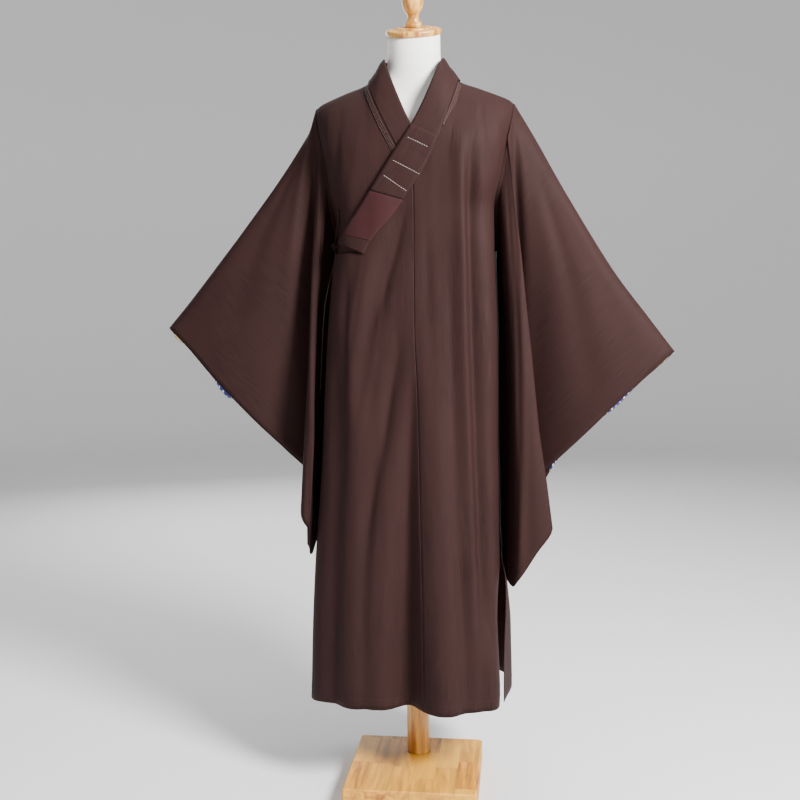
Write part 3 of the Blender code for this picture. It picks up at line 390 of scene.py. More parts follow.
def grainOf(points):
    # thread coordinates in metres: across the cloth, and down it
    across = np.zeros(points.shape[:2])
    across[:, 1:] = np.cumsum(np.linalg.norm(np.diff(points, axis=1), axis=2), axis=1)
    downward = np.zeros(points.shape[:2])
    downward[1:] = np.cumsum(np.linalg.norm(np.diff(points, axis=0), axis=2), axis=0)
    downward[:] = downward.mean(axis=1, keepdims=True)
    across -= across[:, across.shape[1] // 2][:, None]
    return np.stack([across, downward, np.zeros_like(across)], axis=-1)


def wall(name, outer, inner, finish, wraps=False, grain=None):
    # a closed shell between two grids of points
    rows, columns = outer.shape[:2]
    count = rows * columns
    faces = gridFaces(rows, columns, 0, wraps) + gridFaces(rows, columns, count, wraps, True)
    low = (rows - 1) * columns
    rims = []  # from, to, and which way the rim's face looks
    for start, way in ((0, 1), (low, -1)):
        span = range(columns if wraps else columns - 1)
        rims += [(start + k, start + (k + 1) % columns, way) for k in span]
    for start, way in (() if wraps else ((0, -1), (columns - 1, 1))):
        rims += [(start + k * columns, start + (k + 1) * columns, way) for k in range(rows - 1)]
    for a, b, way in rims:
        faces.append((b, a, a + count, b + count)[::way])
    grain = grainOf(outer) if grain is None else grain
    return addMesh(name, [outer, inner], faces, finish, [grain, grain])


def stacked(name, rings, finish, grain=None):
    # a closed solid through rings of points, with flat ends
    rows, around = rings.shape[:2]
    ends = [range(around)[::-1], range((rows - 1) * around, rows * around)]
    made = addMesh(name, rings, gridFaces(rows, around) + ends, finish, grain)
    for end in made.data.polygons[-2:]:
        end.use_smooth = False
    return made


def place(piece, node, slotName):
    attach(piece, "root")
    if node:
        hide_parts(node)
    return piece


def cloth(name, outer, inner, wraps=False, grain=None, finish=None, slotName="robe_cloth"):
    return place(wall(name + "_cloth", outer, inner, finish or robeCloth, wraps, grain), name, slotName)


def linear(hexColour):
    # sRGB hex to linear colour
    values = [int(hexColour[k:k + 2], 16) / 255 for k in (1, 3, 5)]
    return tuple(v / 12.92 if v <= 0.04045 else ((v + 0.055) / 1.055) ** 2.4 for v in values) + (1.0,)


def addNode(tree, kind, inputs=None, output=0, **settings):
    # each input is a value or another node's output; a colour mix takes 0 as factor, 6 and 7 as colours
    node = tree.nodes.new("ShaderNode" + kind)
    for key, value in settings.items():
        setattr(node, key, value)
    for key, value in (inputs or {}).items():
        if isinstance(value, bpy.types.NodeSocket):
            tree.links.new(value, node.inputs[key])
        else:
            node.inputs[key].default_value = value
    return node.outputs[output]


def newMaterial(name, values):
    made = bpy.data.materials.new(name)
    made.use_nodes = True
    shader = made.node_tree.nodes["Principled BSDF"]
    for socket, value in values.items():
        shader.inputs[socket].default_value = value
    return made, made.node_tree, shader


def wovenCloth(name, look):
    # thin matt suiting: dull, a little lighter at grazing angles, with faint upright streaks
    made, tree, shader = newMaterial(name, {
        "Roughness": look["roughness"], "IOR": 1.45, "Specular IOR Level": look["specular"],
        "Sheen Weight": look["sheen"], "Sheen Tint": linear(look["light"]),
    })
    grain = addNode(tree, "Attribute", output="Vector", attribute_name="grain")
    noises = []
    across, along = 1 / look["streakWidth"], 1 / look["streakLength"]
    # threads 0.3 mm apart are drawn as 1.5 mm streaks, as finer ones don't show
    for scale, detail in (((across, along, 1.0), 3.0), ((along, across, 1.0), 2.0)):
        stretched = addNode(tree, "Mapping", {"Vector": grain, "Scale": scale})
        noises.append(addNode(tree, "TexNoise", {
            "Vector": stretched, "Scale": 1.0, "Detail": detail, "Roughness": 0.6,
        }))
    clouds = addNode(tree, "TexNoise", {
        "Vector": addNode(tree, "TexCoord", output="Object"), "Scale": 1 / look["patchSize"], "Detail": 2.0,
        "Roughness": 0.5,
    })
    colour = linear(look["dark"])
    for noise, low, high, other in ((noises[0], 0.32, 0.68, "light"), (clouds, 0.35, 0.75, "worn")):
        share = addNode(tree, "MapRange", {0: noise, 1: low, 2: high})
        colour = addNode(tree, "Mix", {0: share, 6: colour, 7: linear(look[other])}, 2, data_type="RGBA")
    even = linear(look["colour"])
    colour = addNode(tree, "Mix", {0: look["evenness"], 6: colour, 7: even}, 2, data_type="RGBA")
    tree.links.new(colour, shader.inputs["Base Color"])
    both = addNode(tree, "Math", {0: noises[0], 1: noises[1]}, operation="ADD")
    bump = addNode(tree, "Bump", {"Strength": look["bump"], "Distance": 0.3 * mm, "Height": both})
    tree.links.new(bump, shader.inputs["Normal"])
    return made


robeLook = {
    "colour": "#271614", "dark": "#1b0d0c", "light": "#34201e", "worn": "#2d1a18",
    "roughness": 0.72, "specular": 0.13, "sheen": 0.05, "streakWidth": 1.5 * mm, "streakLength": 60 * mm,
    "patchSize": 140 * mm, "evenness": 0.35, "bump": 0.30,
}
facingLook = {
    "colour": "#2f1415", "dark": "#280f10", "light": "#38191a", "worn": "#331617",
    "roughness": 0.66, "specular": 0.20, "sheen": 0.06, "streakWidth": 1.5 * mm, "streakLength": 40 * mm,
    "patchSize": 80 * mm, "evenness": 0.5, "bump": 0.25,
}
linenLook = {
    "colour": "#f6f4ef", "dark": "#ece9e2", "light": "#fbfaf7", "worn": "#f2f0ea",
    "roughness": 0.85, "specular": 0.4, "sheen": 0.05, "streakWidth": 1.8 * mm, "streakLength": 14 * mm,
    "patchSize": 120 * mm, "evenness": 0.5, "bump": 0.4,
}


def varnishedWood(name, look):
    # turned or sawn wood: warm, long pores along the grain, a soft satin shine
    made, tree, shader = newMaterial(name, {
        "Roughness": look["roughness"], "IOR": 1.5, "Coat Weight": look["coat"], "Coat Roughness": 0.35,
    })
    position = addNode(tree, "TexCoord", output="Object")
    if look["board"]:  # boards side by side, each of blocks end to end, and each block a piece of its own
        acrossBoards, alongBoards = (addNode(tree, "SeparateXYZ", {0: position}, k) for k in (0, 1))
        strip = addNode(tree, "Math", {0: acrossBoards, 1: look["board"]}, operation="DIVIDE")
        whole = addNode(tree, "Math", {0: strip}, operation="FLOOR")
        offset = addNode(tree, "TexWhiteNoise", {"W": whole}, noise_dimensions="1D")
        length = addNode(tree, "Math", {0: alongBoards, 1: look["block"]}, operation="DIVIDE")
        slid = addNode(tree, "Math", {0: length, 1: offset}, operation="ADD")
        block = addNode(tree, "Math", {0: slid}, operation="FLOOR")
        where = addNode(tree, "CombineXYZ", {0: whole, 1: block})
        tone = addNode(tree, "TexWhiteNoise", {"Vector": where}, noise_dimensions="2D")
        shift = addNode(tree, "CombineXYZ", {0: tone, 1: tone})
        position = addNode(tree, "VectorMath", {0: position, 1: shift}, operation="ADD")
    stretched = addNode(tree, "Mapping", {"Vector": position, "Scale": look["grain"]})
    figure = addNode(tree, "TexNoise", {
        "Vector": stretched, "Scale": 1.0, "Detail": 5.0, "Roughness": 0.55, "Distortion": 0.6,
    })
    share = addNode(tree, "MapRange", {0: figure, 1: 0.36, 2: 0.62})
    dark, light = linear(look["dark"]), linear(look["light"])
    colour = addNode(tree, "Mix", {0: share, 6: dark, 7: light}, 2, data_type="RGBA")
    if look["board"]:
        share = addNode(tree, "MapRange", {0: tone, 1: 0.05, 2: 1.35})
        colour = addNode(tree, "Mix", {0: share, 6: colour, 7: linear(look["strip"])}, 2, data_type="RGBA")
        edge = addNode(tree, "Math", {0: strip}, operation="FRACT")
        glued = addNode(tree, "Math", {0: edge, 1: look["glueLine"]}, operation="LESS_THAN")
        thin = addNode(tree, "Math", {0: glued, 1: 0.45}, operation="MULTIPLY")
        colour = addNode(tree, "Mix", {0: thin, 6: colour, 7: linear(look["glue"])}, 2, data_type="RGBA")
    tree.links.new(colour, shader.inputs["Base Color"])
    bump = addNode(tree, "Bump", {"Strength": 0.12, "Distance": 0.1 * mm, "Height": figure})
    tree.links.new(bump, shader.inputs["Normal"])
    return made


turnedLook = {
    "dark": "#9a5c1c", "light": "#e2ac50", "roughness": 0.38, "coat": 0.3, "board": 0.0,
    "grain": (105.0, 105.0, 6.0),  # grain lines in a metre, by axis
}
baseLook = {
    "dark": "#84480e", "light": "#e39a2a", "roughness": 0.55, "coat": 0.05, "board": 0.047, "block": 0.13,
    "grain": (62.0, 6.0, 62.0), "strip": "#e5a838", "glueLine": 0.018, "glue": "#8b6230",
}


def plainThread(name, hexColour, roughness):
    # spun thread: dull and slightly uneven along its length
    made, tree, shader = newMaterial(name, {"Roughness": roughness, "IOR": 1.45})
    twist = addNode(tree, "TexNoise", {
        "Vector": addNode(tree, "TexCoord", output="Object"), "Scale": 900.0, "Detail": 1.0,
    })
    share = addNode(tree, "MapRange", {0: twist, 1: 0.3, 2: 0.7})
    base = linear(hexColour)
    darker = tuple(v * 0.72 for v in base[:3]) + (1.0,)
    colour = addNode(tree, "Mix", {0: share, 6: darker, 7: base}, 2, data_type="RGBA")
    tree.links.new(colour, shader.inputs["Base Color"])
    return made


def cuffBrocade(name, look):
    # printed satin band: blue with small pale dots, and a stretch of gold, faintly shiny
    made, tree, shader = newMaterial(name, {"Roughness": look["roughness"], "IOR": 1.45, "Sheen Weight": 0.1})
    grain = addNode(tree, "Attribute", output="Vector", attribute_name="grain")
    cells = addNode(tree, "TexVoronoi", {
        "Vector": grain, "Scale": 1 / look["dotSpacing"], "Randomness": 0.25,
    }, voronoi_dimensions="2D")
    dots = addNode(tree, "MapRange", {0: cells, 1: look["dotSize"], 2: look["dotSize"] - 0.06})
    blue, gold = (
        addNode(tree, "Mix", {0: dots, 6: linear(look[ground]), 7: linear(look[dot])}, 2, data_type="RGBA")
        for ground, dot in (("ground", "dot"), ("goldGround", "goldDot"))
    )
    stretch = addNode(tree, "SeparateXYZ", {0: grain}, 2)
    inGold = addNode(tree, "Math", {0: stretch, 1: 0.8}, operation="GREATER_THAN")
    colour = addNode(tree, "Mix", {0: inGold, 6: blue, 7: gold}, 2, data_type="RGBA")
    tree.links.new(colour, shader.inputs["Base Color"])
    bump = addNode(tree, "Bump", {"Strength": 0.4, "Distance": 0.2 * mm, "Height": dots})
    tree.links.new(bump, shader.inputs["Normal"])
    return made


brocadeLook = {
    "ground": "#1c2a7c", "dot": "#e9e6ec", "goldGround": "#d8b978", "goldDot": "#f4ead0",
    "roughness": 0.45, "dotSpacing": 13 * mm, "dotSize": 0.22,
}

robeCloth = wovenCloth("wovenSuiting", robeLook)
facingCloth = wovenCloth("wovenSuitingRed", facingLook)
formLinen = wovenCloth("stretchedLinen", linenLook)
capWood = varnishedWood("varnishedBeech", turnedLook)
baseWood = varnishedWood("laminatedPine", baseLook)
whiteThread = plainThread("whiteCottonThread", "#cfc3bb", 0.6)
brownThread = plainThread("brownCottonThread", "#231513", 0.8)
foldThread = plainThread("paleBrownCottonThread", "#7d645d", 0.65)
cuffPrint = cuffBrocade("printedSatin", brocadeLook)
paintLook = {"Roughness": 0.9, "IOR": 1.45, "Base Color": linear("#e9e9ea")}  # rolled matt paint: no shine
floorPaint = newMaterial("mattWhiteFloor", paintLook)[0]
print("stage: materials made")

cut = {
    # z, x of the seam down the centre front
    "centreSeam": inMetres(((190, 26), (350, 25), (610, 21), (860, 16), (1000, 11), (1300, 10))),
    "coveredShare": 0.10,  # share of the collar's width that lies over a panel's edge
    "overlapBreakZ": 1.08,  # the overlap's upper rows end here, and the other panels' at the armpit
    "overlapRows": 24,
    "underEdgeX": 0.030,  # how far the right front reaches under the left
    "sideAngle": 90 - 0.05,
}
# Where the ten rows from the shoulder line to the armpit lie: by down, then by height.
upperDowns = np.arange(7) / 6
upperHeights = np.array((1.305, 1.26, 1.21, robe["armpitZ"]))
upperRows = robe["upperRows"]


def hemZ(across, face):
    level = robe["hemZ"] - 0.012 * smooth((-across - 40) / 50)
    return level - 0.008 if face > 0 else level


def overlapLift(across, z):
    return robe["overlapLift"] * smooth((72 - across) / 34) * smooth((robe["creaseFreeZ"] - z) / 0.06)


def slitShare(z):
    return smooth((robe["slitTopZ"] - z) / 0.12)


def trimmedLine(rows):
    # the line across the front where the collar starts to cover a panel
    share = cut["coveredShare"]
    return sorted((r[0] + share * (r[2] - r[0]), r[1] + share * (r[3] - r[1])) for r in rows)


def panelGrid(start, end, shares, face, topLine, rows, breakZ, lift):
    # rows and columns of a panel between two edges, cut along a line at its top
    def acrossOf(z):
        return start(z) + (end(z) - start(z)) * shares

    def underLine(z):
        here = acrossOf(z)
        x = bodyPoint(here, downAt(here, z), face)[:, 0]
        return z < np.interp(x, topLine[:, 0], topLine[:, 1])

    topLine = np.array(topLine)
    fromShoulder = rows == upperRows
    across = acrossOf(1.5)
    xTop = bodyPoint(across, 0.0 * across, face)[:, 0]
    trimmed = np.full(len(shares), True)
    if fromShoulder:
        trimmed = (xTop >= topLine[0, 0] - 0.0001) & (xTop <= topLine[-1, 0] + 0.0001)
        trimmed &= np.abs(xTop) < robe["neckX"] - 0.0005
    low, high = halved(np.full(len(shares), 1.0), lineTop(across) - 0.0005, 30, underLine)
    top = np.where(trimmed, downAt(acrossOf(low), low), 0.0)
    steps = np.linspace(0, 1, rows + 1)[:, None]
    if fromShoulder:
        full = np.concatenate([
            np.repeat(upperDowns[:, None], len(shares), axis=1),
            downAt(across[None, :], upperHeights[:, None]),
        ])
        full = full / full[-1]
        places = np.linspace(0, 10, rows + 1)
        steps = np.stack([np.interp(places, np.arange(11), full[:, k]) for k in range(len(shares))], axis=1)
    breakDown = downAt(acrossOf(breakZ), breakZ)
    upper = top + (breakDown - top) * steps
    run = np.arange(1, robe["lowerRows"] + 1)[:, None] / robe["lowerRows"]
    z = breakZ + (hemZ(acrossOf(0.2), face) - breakZ) * run
    downs = np.concatenate([upper, downAt(acrossOf(z), z)])
    z = heightAt(np.broadcast_to(across, downs.shape), downs)
    here = acrossOf(z)
    return bodyPoint(here, downs, face, lift(here, z)), bodyNormal(here, downs, face)


def splitShares(angles, counts):
    # this many columns between each angle and the next
    runs = [
        np.linspace(a, b, count * robe["columnFactor"], endpoint=False)
        for a, b, count in zip(angles, angles[1:], counts)
    ]
    places = np.concatenate(runs + [[angles[-1]]])
    return (places - angles[0]) / (angles[-1] - angles[0])


def noLift(across, z):
    return 0.0


def slitLift(across, z):
    # below the slit the back edge hangs outside the front edge
    bell = hump(across, 66, 24)
    share = smooth((robe["slitTopZ"] + 0.10 - z) / 0.30)
    past = smooth((robe["slitTopZ"] - z) / 0.05) * smooth((across - 60) / 25)
    return share * 0.026 * bell + past * 0.007


def frontLift(across, z):
    tuck = smooth((robe["slitTopZ"] - z) / 0.14) * smooth((across - 52) / 36)
    return overlapLift(across, z) - tuck * 0.013


def seamAngle(side):
    # the edge of the left front or of the overlap, on its side of the centre seam
    return lambda z: acrossAt(
        read(cut["centreSeam"], 1, z) + side * seamGap / 2, np.minimum(z, robe["shoulderZ"])
    )


def uprightAt(x):
    return lambda z: acrossAt(x + 0 * z, np.minimum(z, robe["shoulderZ"]))


def leftSide(z):
    return cut["sideAngle"] + 16 * smooth((robe["slitTopZ"] - 0.06 - z) / 0.20)


def rightSide(z):
    return -(cut["sideAngle"] - 1.2 * slitShare(z))


def overlapSide(z):
    return -(92 + 4 * slitShare(z))


leftLine = trimmedLine(overCollar)
rightLine = trimmedLine(underCollar) + [(0.060, 1.352)]
backLine = [(-0.096, 1.518), (-0.05, 1.516), (0.0, 1.515), (0.05, 1.516), (0.096, 1.518)]
neckLeft, neckRight = (float(acrossAt(side * robe["neckX"], robe["widthZ"])) for side in (1, -1))
sideAngle, underEdge = cut["sideAngle"], uprightAt(cut["underEdgeX"])
seamLeft, seamOver, underTop = (float(edge(1.5)) for edge in (seamAngle(1), seamAngle(-1), underEdge))
panelCuts = {
    # edges, angles at the top, columns between them, face, top line, lift
    "front_left_panel": (
        seamAngle(1), leftSide, (seamLeft, neckLeft, 43.0, sideAngle), (9, 8, 6), -1, leftLine, frontLift,
    ),
    "front_overlap_panel": (
        overlapSide, seamAngle(-1), (-92.0, -38.0, -16.0, seamOver), (7, 7, 10), -1, leftLine, overlapLift,
    ),
    "front_right_panel": (
        rightSide, underEdge, (-sideAngle, neckRight, -14.0, underTop), (10, 3, 8), -1, rightLine, noLift,
    ),
    "back_left_panel": (
        uprightAt(seamGap / 2), leftSide, (0.0, neckLeft, sideAngle), (6, 11), 1, backLine, slitLift,
    ),
    "back_right_panel": (
        rightSide, uprightAt(-seamGap / 2), (-sideAngle, neckRight, 0.0), (11, 6), 1, backLine, noLift,
    ),
}
panels, pieces = {}, {}
for name, (start, end, angles, counts, face, topLine, lift) in panelCuts.items():
    rows, breakZ = upperRows, robe["armpitZ"]
    if name == "front_overlap_panel":
        rows, breakZ = cut["overlapRows"], cut["overlapBreakZ"]
    shares = splitShares(angles, counts)
    points, normals = panels[name] = panelGrid(start, end, shares, face, topLine, rows, breakZ, lift)
    if rows == upperRows:
        onRidge = np.abs(points[0, :, 1] - axisY) < 0.0002
        points[0, onRidge, 1] += face * seamGap / 2
    pieces[name] = cloth(name, points, points - normals * robe["clothWall"])
print("stage: five body panels cut and hung")

sleeve = {
    "rows": 60,
    "halfRows": 40,  # half rows round an armhole: the top is 0 and the armpit 20
    "crowding": 1.25,  # above 1 the rows lie closer at the armhole
    "tuck": (23.4, 3.3, 0.060, 0.046),  # half row, width in half rows, how far in, how far back
    "offBody": 2.2 * mm,  # the inner folds rest this far off the body
    "layerStep": 2.2 * mm,
    "bodyEndZ": 1.186,  # above this the sleeve leaves the body and is held off it no more
    "fullness": 0.010,  # how far the upper sleeve stands out, front and back
    "nearBody": 0.012,  # how far its inner half swings out
    # where the back layer's cuff hangs below the front layer's: half row, width, drop
    "sideDrops": {1: ((36.3, 0.7, 11 * mm),), -1: ((38.7, 0.5, 10 * mm), (36.45, 0.6, 35 * mm))},
    "recess": ((7.0, 1.7, 0.034), (31.5, 4.6, 0.034)),  # behind the hanging strip: half row, width, depth
    "folds": {
        # half row at the shoulder and at the cuff, width in half rows, push in mm, from, to
        1: (
            (3.0, 4.6, 0.55, -4.0, 0.25, 0.95), (5.2, 8.2, 0.60, 4.5, 0.10, 0.90),
            (7.2, 11.0, 0.60, -5.0, 0.15, 0.85), (9.4, 13.8, 0.70, 4.0, 0.30, 1.00),
            (2.0, 1.6, 0.45, 3.0, 0.35, 0.80), (34.6, 33.6, 0.60, 4.0, 0.15, 0.90),
            (37.0, 36.0, 0.50, -3.5, 0.25, 0.90), (33.2, 32.6, 0.80, -3.5, 0.25, 0.90),
            (16.2, 15.6, 0.80, -4.5, 0.30, 0.95),
        ),
        -1: (
            (2.6, 3.4, 0.50, -4.0, 0.20, 0.85), (14.2, 13.6, 0.50, -4.0, 0.25, 0.95),
            (4.2, 6.9, 0.60, 4.5, 0.05, 0.90), (6.4, 9.2, 0.60, -4.5, 0.15, 0.80),
            (8.8, 12.8, 0.70, 4.0, 0.25, 1.00), (1.7, 1.4, 0.40, 2.5, 0.40, 0.85),
            (35.4, 34.2, 0.60, 4.0, 0.15, 0.90), (37.4, 36.8, 0.50, -3.0, 0.30, 0.90),
            (32.0, 29.0, 0.70, -4.5, 0.20, 0.95),
        ),
    },
}


def halfRowsOf(around):
    return np.arange(around) * float(sleeve["halfRows"]) / around


def armholeLoop(front, back, side):
    # down the front edge of an armhole and up its back edge
    edge = -1 if side > 0 else 0
    loops = []
    for index in (0, 1):
        a, b = front[index][: upperRows + 1, edge], back[index][: upperRows + 1, edge]
        top, low = ((a[0] + b[0]) / 2, (a[-1] + b[-1]) / 2) if index == 0 else (a[0], a[-1])
        loops.append(np.concatenate([[top], a[1:-1], [low], b[1:-1][::-1]]))
    return loops[0], unit(loops[1])


def evened(normals):
    # normals round a sleeve that turn gently, so a wall built along them never crosses itself
    for _ in range(6):
        beside = np.roll(normals, 1, axis=1) + np.roll(normals, -1, axis=1)
        above = np.concatenate([normals[:1], normals[:-1]]) + np.concatenate([normals[1:], normals[-1:]])
        normals = unit(normals * 2 + beside + above)
    return normals


def clearOfBody(points, side):
    # where the sleeve's cloth would reach into the body it rests on it
    x, y, z = np.abs(points[..., 0]), points[..., 1] - axisY, np.clip(points[..., 2], 0.2, 1.15)
    face = np.where(y < 0, -1, 1)
    half = sideHalfWidth(z, side * np.ones_like(z))
    full = fullDepth(z, face)
    turn = halved(
        np.zeros_like(z), np.full_like(z, math.pi / 2), 24,
        lambda turn: half * planX(turn) * np.abs(y) < full * planY(turn) * x,
    )[0]
    across = side * np.degrees(turn)
    front = frontLift(across, z) if side > 0 else overlapLift(across, z)
    behind = slitLift(across, z) if side > 0 else robe["overlapLift"] * smooth((-across - 66) / 12)
    body = bodyPoint(across, downAt(across, z), face, np.where(face < 0, front, behind))
    fromArmpit = np.abs(halfRowsOf(points.shape[1]) - sleeve["halfRows"] / 2)
    layered = np.clip(fromArmpit, 0, 8) * sleeve["layerStep"]  # a fold's two legs lie one on the other
    reach = np.hypot(body[..., 0], body[..., 1] - axisY) + sleeve["offBody"] + layered
    mine = np.hypot(x, y)
    grow = np.maximum(reach / mine, 1.0) - 1
    grow = 1 + grow * smooth((sleeve["bodyEndZ"] - points[..., 2]) / 0.03)
    return np.stack([points[..., 0] * grow, axisY + y * grow, points[..., 2]], axis=-1)


def sleeveGrid(front, back, side):
    rays, sag = sleeveRays[side], sleeveSag[side]
    points, normals = armholeLoop(panels[front], panels[back], side)
    halfRow = halfRowsOf(len(points))
    fromShoulder = np.minimum(halfRow, sleeve["halfRows"] - halfRow)
    tangents = unit(np.roll(points, -3, axis=0) - np.roll(points, 3, axis=0))
    away = unit(np.cross(normals, tangents) * side)
    first = points + away * seamGap
    # in mm: the second ring stands out from the seam, most at the armpit
    raised = 0.8 + 3.2 * smooth(fromShoulder / 7) + 5 * smooth((fromShoulder - 12) / 6)
    onward = 2.0 - 0.8 * smooth((fromShoulder - 15) / 4)
    standOff = points + (normals * raised[:, None] + away * onward[:, None]) * mm
    cuff = np.stack([read(rays, k, halfRow) for k in (1, 2, 3)], axis=1)
    cuff[:, 1] = axisY + cuff[:, 1]
    for spot, width, drop in sleeve["sideDrops"][side]:
        cuff[:, 2] -= drop * hump(halfRow, spot, width)
    upper = smooth(1 - fromShoulder / 7)
    inner = smooth((fromShoulder - 10) / 6)
    face = np.where(halfRow < sleeve["halfRows"] / 2, -1, 1)
    fullness = np.sin(math.pi * np.minimum(1.0, fromShoulder / 7)) * sleeve["fullness"]
    tuckAt, tuckWidth, inward, backward = sleeve["tuck"]  # the inner fold lies behind the body's side
    shares = (np.arange(1, sleeve["rows"] + 1) / sleeve["rows"]) ** sleeve["crowding"]
    rings = [first, standOff]
    for share in shares:
        spread = math.sin(math.pi * share)
        ray = standOff + (cuff - standOff) * share
        ray[:, 2] -= float(read(sag, 1, share)) * upper
        ray[:, 0] += side * sleeve["nearBody"] * spread * inner
        ray[:, 1] += face * fullness * spread
        tuck = hump(halfRow, tuckAt, tuckWidth) * smooth(share / 0.12)
        tuck = tuck * smooth((robe["armpitZ"] + 0.022 - ray[:, 2]) / 0.03)
        for spot, width, depth in sleeve["recess"]:
            ray[:, 1] += depth * hump(halfRow, spot, width) * share
        ray[:, 0] -= side * inward * tuck
        ray[:, 1] += backward * tuck
        rings.append(ray)
    rings = np.array(rings)
    facing = gridNormals(rings, True, flip=side > 0)
    shares = np.concatenate([[0, 0], shares])[:, None]
    push = rumple(halfRow[None, :] * 0.021 + (0.7 if side > 0 else 0.2), shares * 0.55)
    push = push * smooth(shares / 0.15)
    for atShoulder, atCuff, width, out, begins, ends in sleeve["folds"][side]:
        centre = atShoulder + (atCuff - atShoulder) * shares
        fade = smooth((shares - begins + 0.12) / 0.24) * smooth((ends + 0.12 - shares) / 0.24)
        push = push + out * mm * fade * hump(halfRow[None, :], centre, width)
    rings = rings + facing * push[:, :, None]
    rings[2:] = clearOfBody(rings[2:], side)
    facing = gridNormals(rings, True, flip=side > 0)
    facing[0] = normals
    return rings, evened(facing)


sleeves = {}
for name, side in (("left", 1), ("right", -1)):
    rings, facing = sleeveGrid("front_" + name + "_panel", "back_" + name + "_panel", side)
    name = "sleeve_" + name
    sleeves[name] = rings, facing
    grain = grainOf(rings)[:, :, [1, 0, 2]]  # threads run along the sleeve's length
    pieces[name] = cloth(name, rings, rings - facing * robe["clothWall"], True, grain)
print("stage: sleeves sewn to the armholes")

collar = {
    "foot": 1.0 * mm,  # clear space between a panel and the collar on it
    "wall": 1.5 * mm,
    "steps": 12,  # rows between two places of the collar's table
    "columns": 13,
    "neckTurns": 48,
    "frontFootZ": 1.517,
    "backFootZ": 1.512,
    "top": (0.0625, 0.068, 1.562, 0.010),  # half width, depth, height at the sides, rise at the back
    "bow": 0.002,  # how far the band bulges behind the neck
    "evenRows": 8,  # rows beside the neck that turn into the back of the collar
    # parts laid over the band: first and last row, thickness, material, slot
    "laid": {
        "collar_patch": (36, 64, 1.2 * mm, robeCloth, "robe_cloth"),
        "collar_lower_facing": (64, 96, 0.8 * mm, facingCloth, "collar_facing"),
        "collar_end_tab": (96, 108, 1.4 * mm, robeCloth, "robe_cloth"),
    },
    "quiltDip": 0.5 * mm,  # how far a stitch line pulls the patch in
    "quiltWidth": 2.6 * mm,
    # the stepped folds beside the band: name, over the left front, last place of the table
    "folds": (("collar_folds_left", True, 8), ("collar_folds_right", False, 11)),
    "foldProfile": (
        # distance from the band's edge and height over the panel, in mm
        (0.3, 2.4), (0.5, 2.9), (1.0, 3.1), (3.6, 3.1), (4.3, 2.9), (4.6, 2.3), (5.0, 2.4), (7.8, 2.4),
        (8.5, 2.2), (8.8, 1.6), (9.2, 1.7), (11.6, 1.7), (12.3, 1.5), (12.5, 1.2),
    ),
    "foldFoot": 0.9 * mm,
    "foldStitches": (3, 7, 11),  # places of the profile that are stitched down
    # white stitch lines across the patch, from its outer edge to its inner, as x and z
    "quilt": (
        ((0.042, 1.363), (-0.004, 1.386)),
        ((0.025, 1.309), (-0.033, 1.341)),
        ((0.000, 1.275), (-0.052, 1.312)),
    ),
    "darkSeam": ((0.033, 1.343), (-0.017, 1.366)),
}


def onFront(x, z, lift, over):
    # points over the chest, lifted off the body's surface, and the normals there
    x, z = np.broadcast_arrays(np.asarray(x, float), np.asarray(z, float))
    across = acrossAt(x, z)
    for _ in range(6):  # steps of 0.8, by a body that is about 0.2 m from its middle to its side
        zHere = np.minimum(z, lineTop(across) - 0.0002)
        across = across + np.degrees((x - bodyPoint(across, downAt(across, zHere), -1)[..., 0]) / 0.2) * 0.8
    down = downAt(across, np.minimum(z, lineTop(across) - 0.0002))
    normals = bodyNormal(across, down, -1)
    base = bodyPoint(across, down, -1, overlapLift(across, z) if over else 0.0)
    return base + normals * np.broadcast_to(lift, x.shape)[..., None], normals


def collarStations(rows):
    # the two edges of the front collar at places along it, as x and z
    places = np.arange(len(rows))
    along = np.arange((len(rows) - 1) * collar["steps"] + 1) / collar["steps"]
    edges = [curve(places, rows[:, k], along) for k in range(4)]
    return np.stack(edges[:2], axis=1), np.stack(edges[2:], axis=1)


def shoulderRoom(z):
    return 1.6 * mm * smooth((z - 1.455) / 0.035)


bandShares = np.linspace(0, 1, collar["columns"])
bandHeight = collar["foot"] + collar["wall"]


def bandRows(stations, over):
    outer, inner = stations
    x, z = (outer[:, None, k] + (inner[:, None, k] - outer[:, None, k]) * bandShares for k in (0, 1))
    return onFront(x, z, bandHeight + shoulderRoom(z), over)


overStations, underStations = collarStations(overCollar), collarStations(underCollar)
overPoints, overNormals = bandRows(overStations, True)
underPoints = bandRows(underStations, False)[0]
neckLines = []
halfWidth, depth, topZ, backRise = collar["top"]
for k in range(1, collar["neckTurns"]):
    turn = math.pi * k / collar["neckTurns"]
    sine, cosine = math.sin(turn), math.cos(turn)
    footZ = collar["frontFootZ"] - (collar["frontFootZ"] - collar["backFootZ"]) * sine
    across = acrossAt(robe["neckX"] * cosine, robe["shoulderZ"])
    footNormal = bodyNormal(across, downAt(across, footZ), 1)
    foot = bodyPoint(across, downAt(across, footZ), 1) + footNormal * (bandHeight + shoulderRoom(footZ))
    top = np.array((halfWidth * cosine, axisY + depth * sine, topZ + backRise * sine))
    bow = np.sin(math.pi * bandShares)[:, None] * collar["bow"]
    neckLines.append(foot + (top - foot) * bandShares[:, None] + footNormal * bow)
band = np.concatenate([overPoints[::-1], np.array(neckLines), underPoints])
bandNormals = gridNormals(band, False)
middleRow = len(overPoints) // 2
if (bandNormals[middleRow, 1] * overNormals[middleRow, 1]).sum() < 0:
    bandNormals = -bandNormals
kept = len(overPoints) - collar["evenRows"]
bandNormals[:kept] = overNormals[::-1][:kept]
pieces["collar_band"] = cloth("collar_band", band, band - bandNormals * collar["wall"])

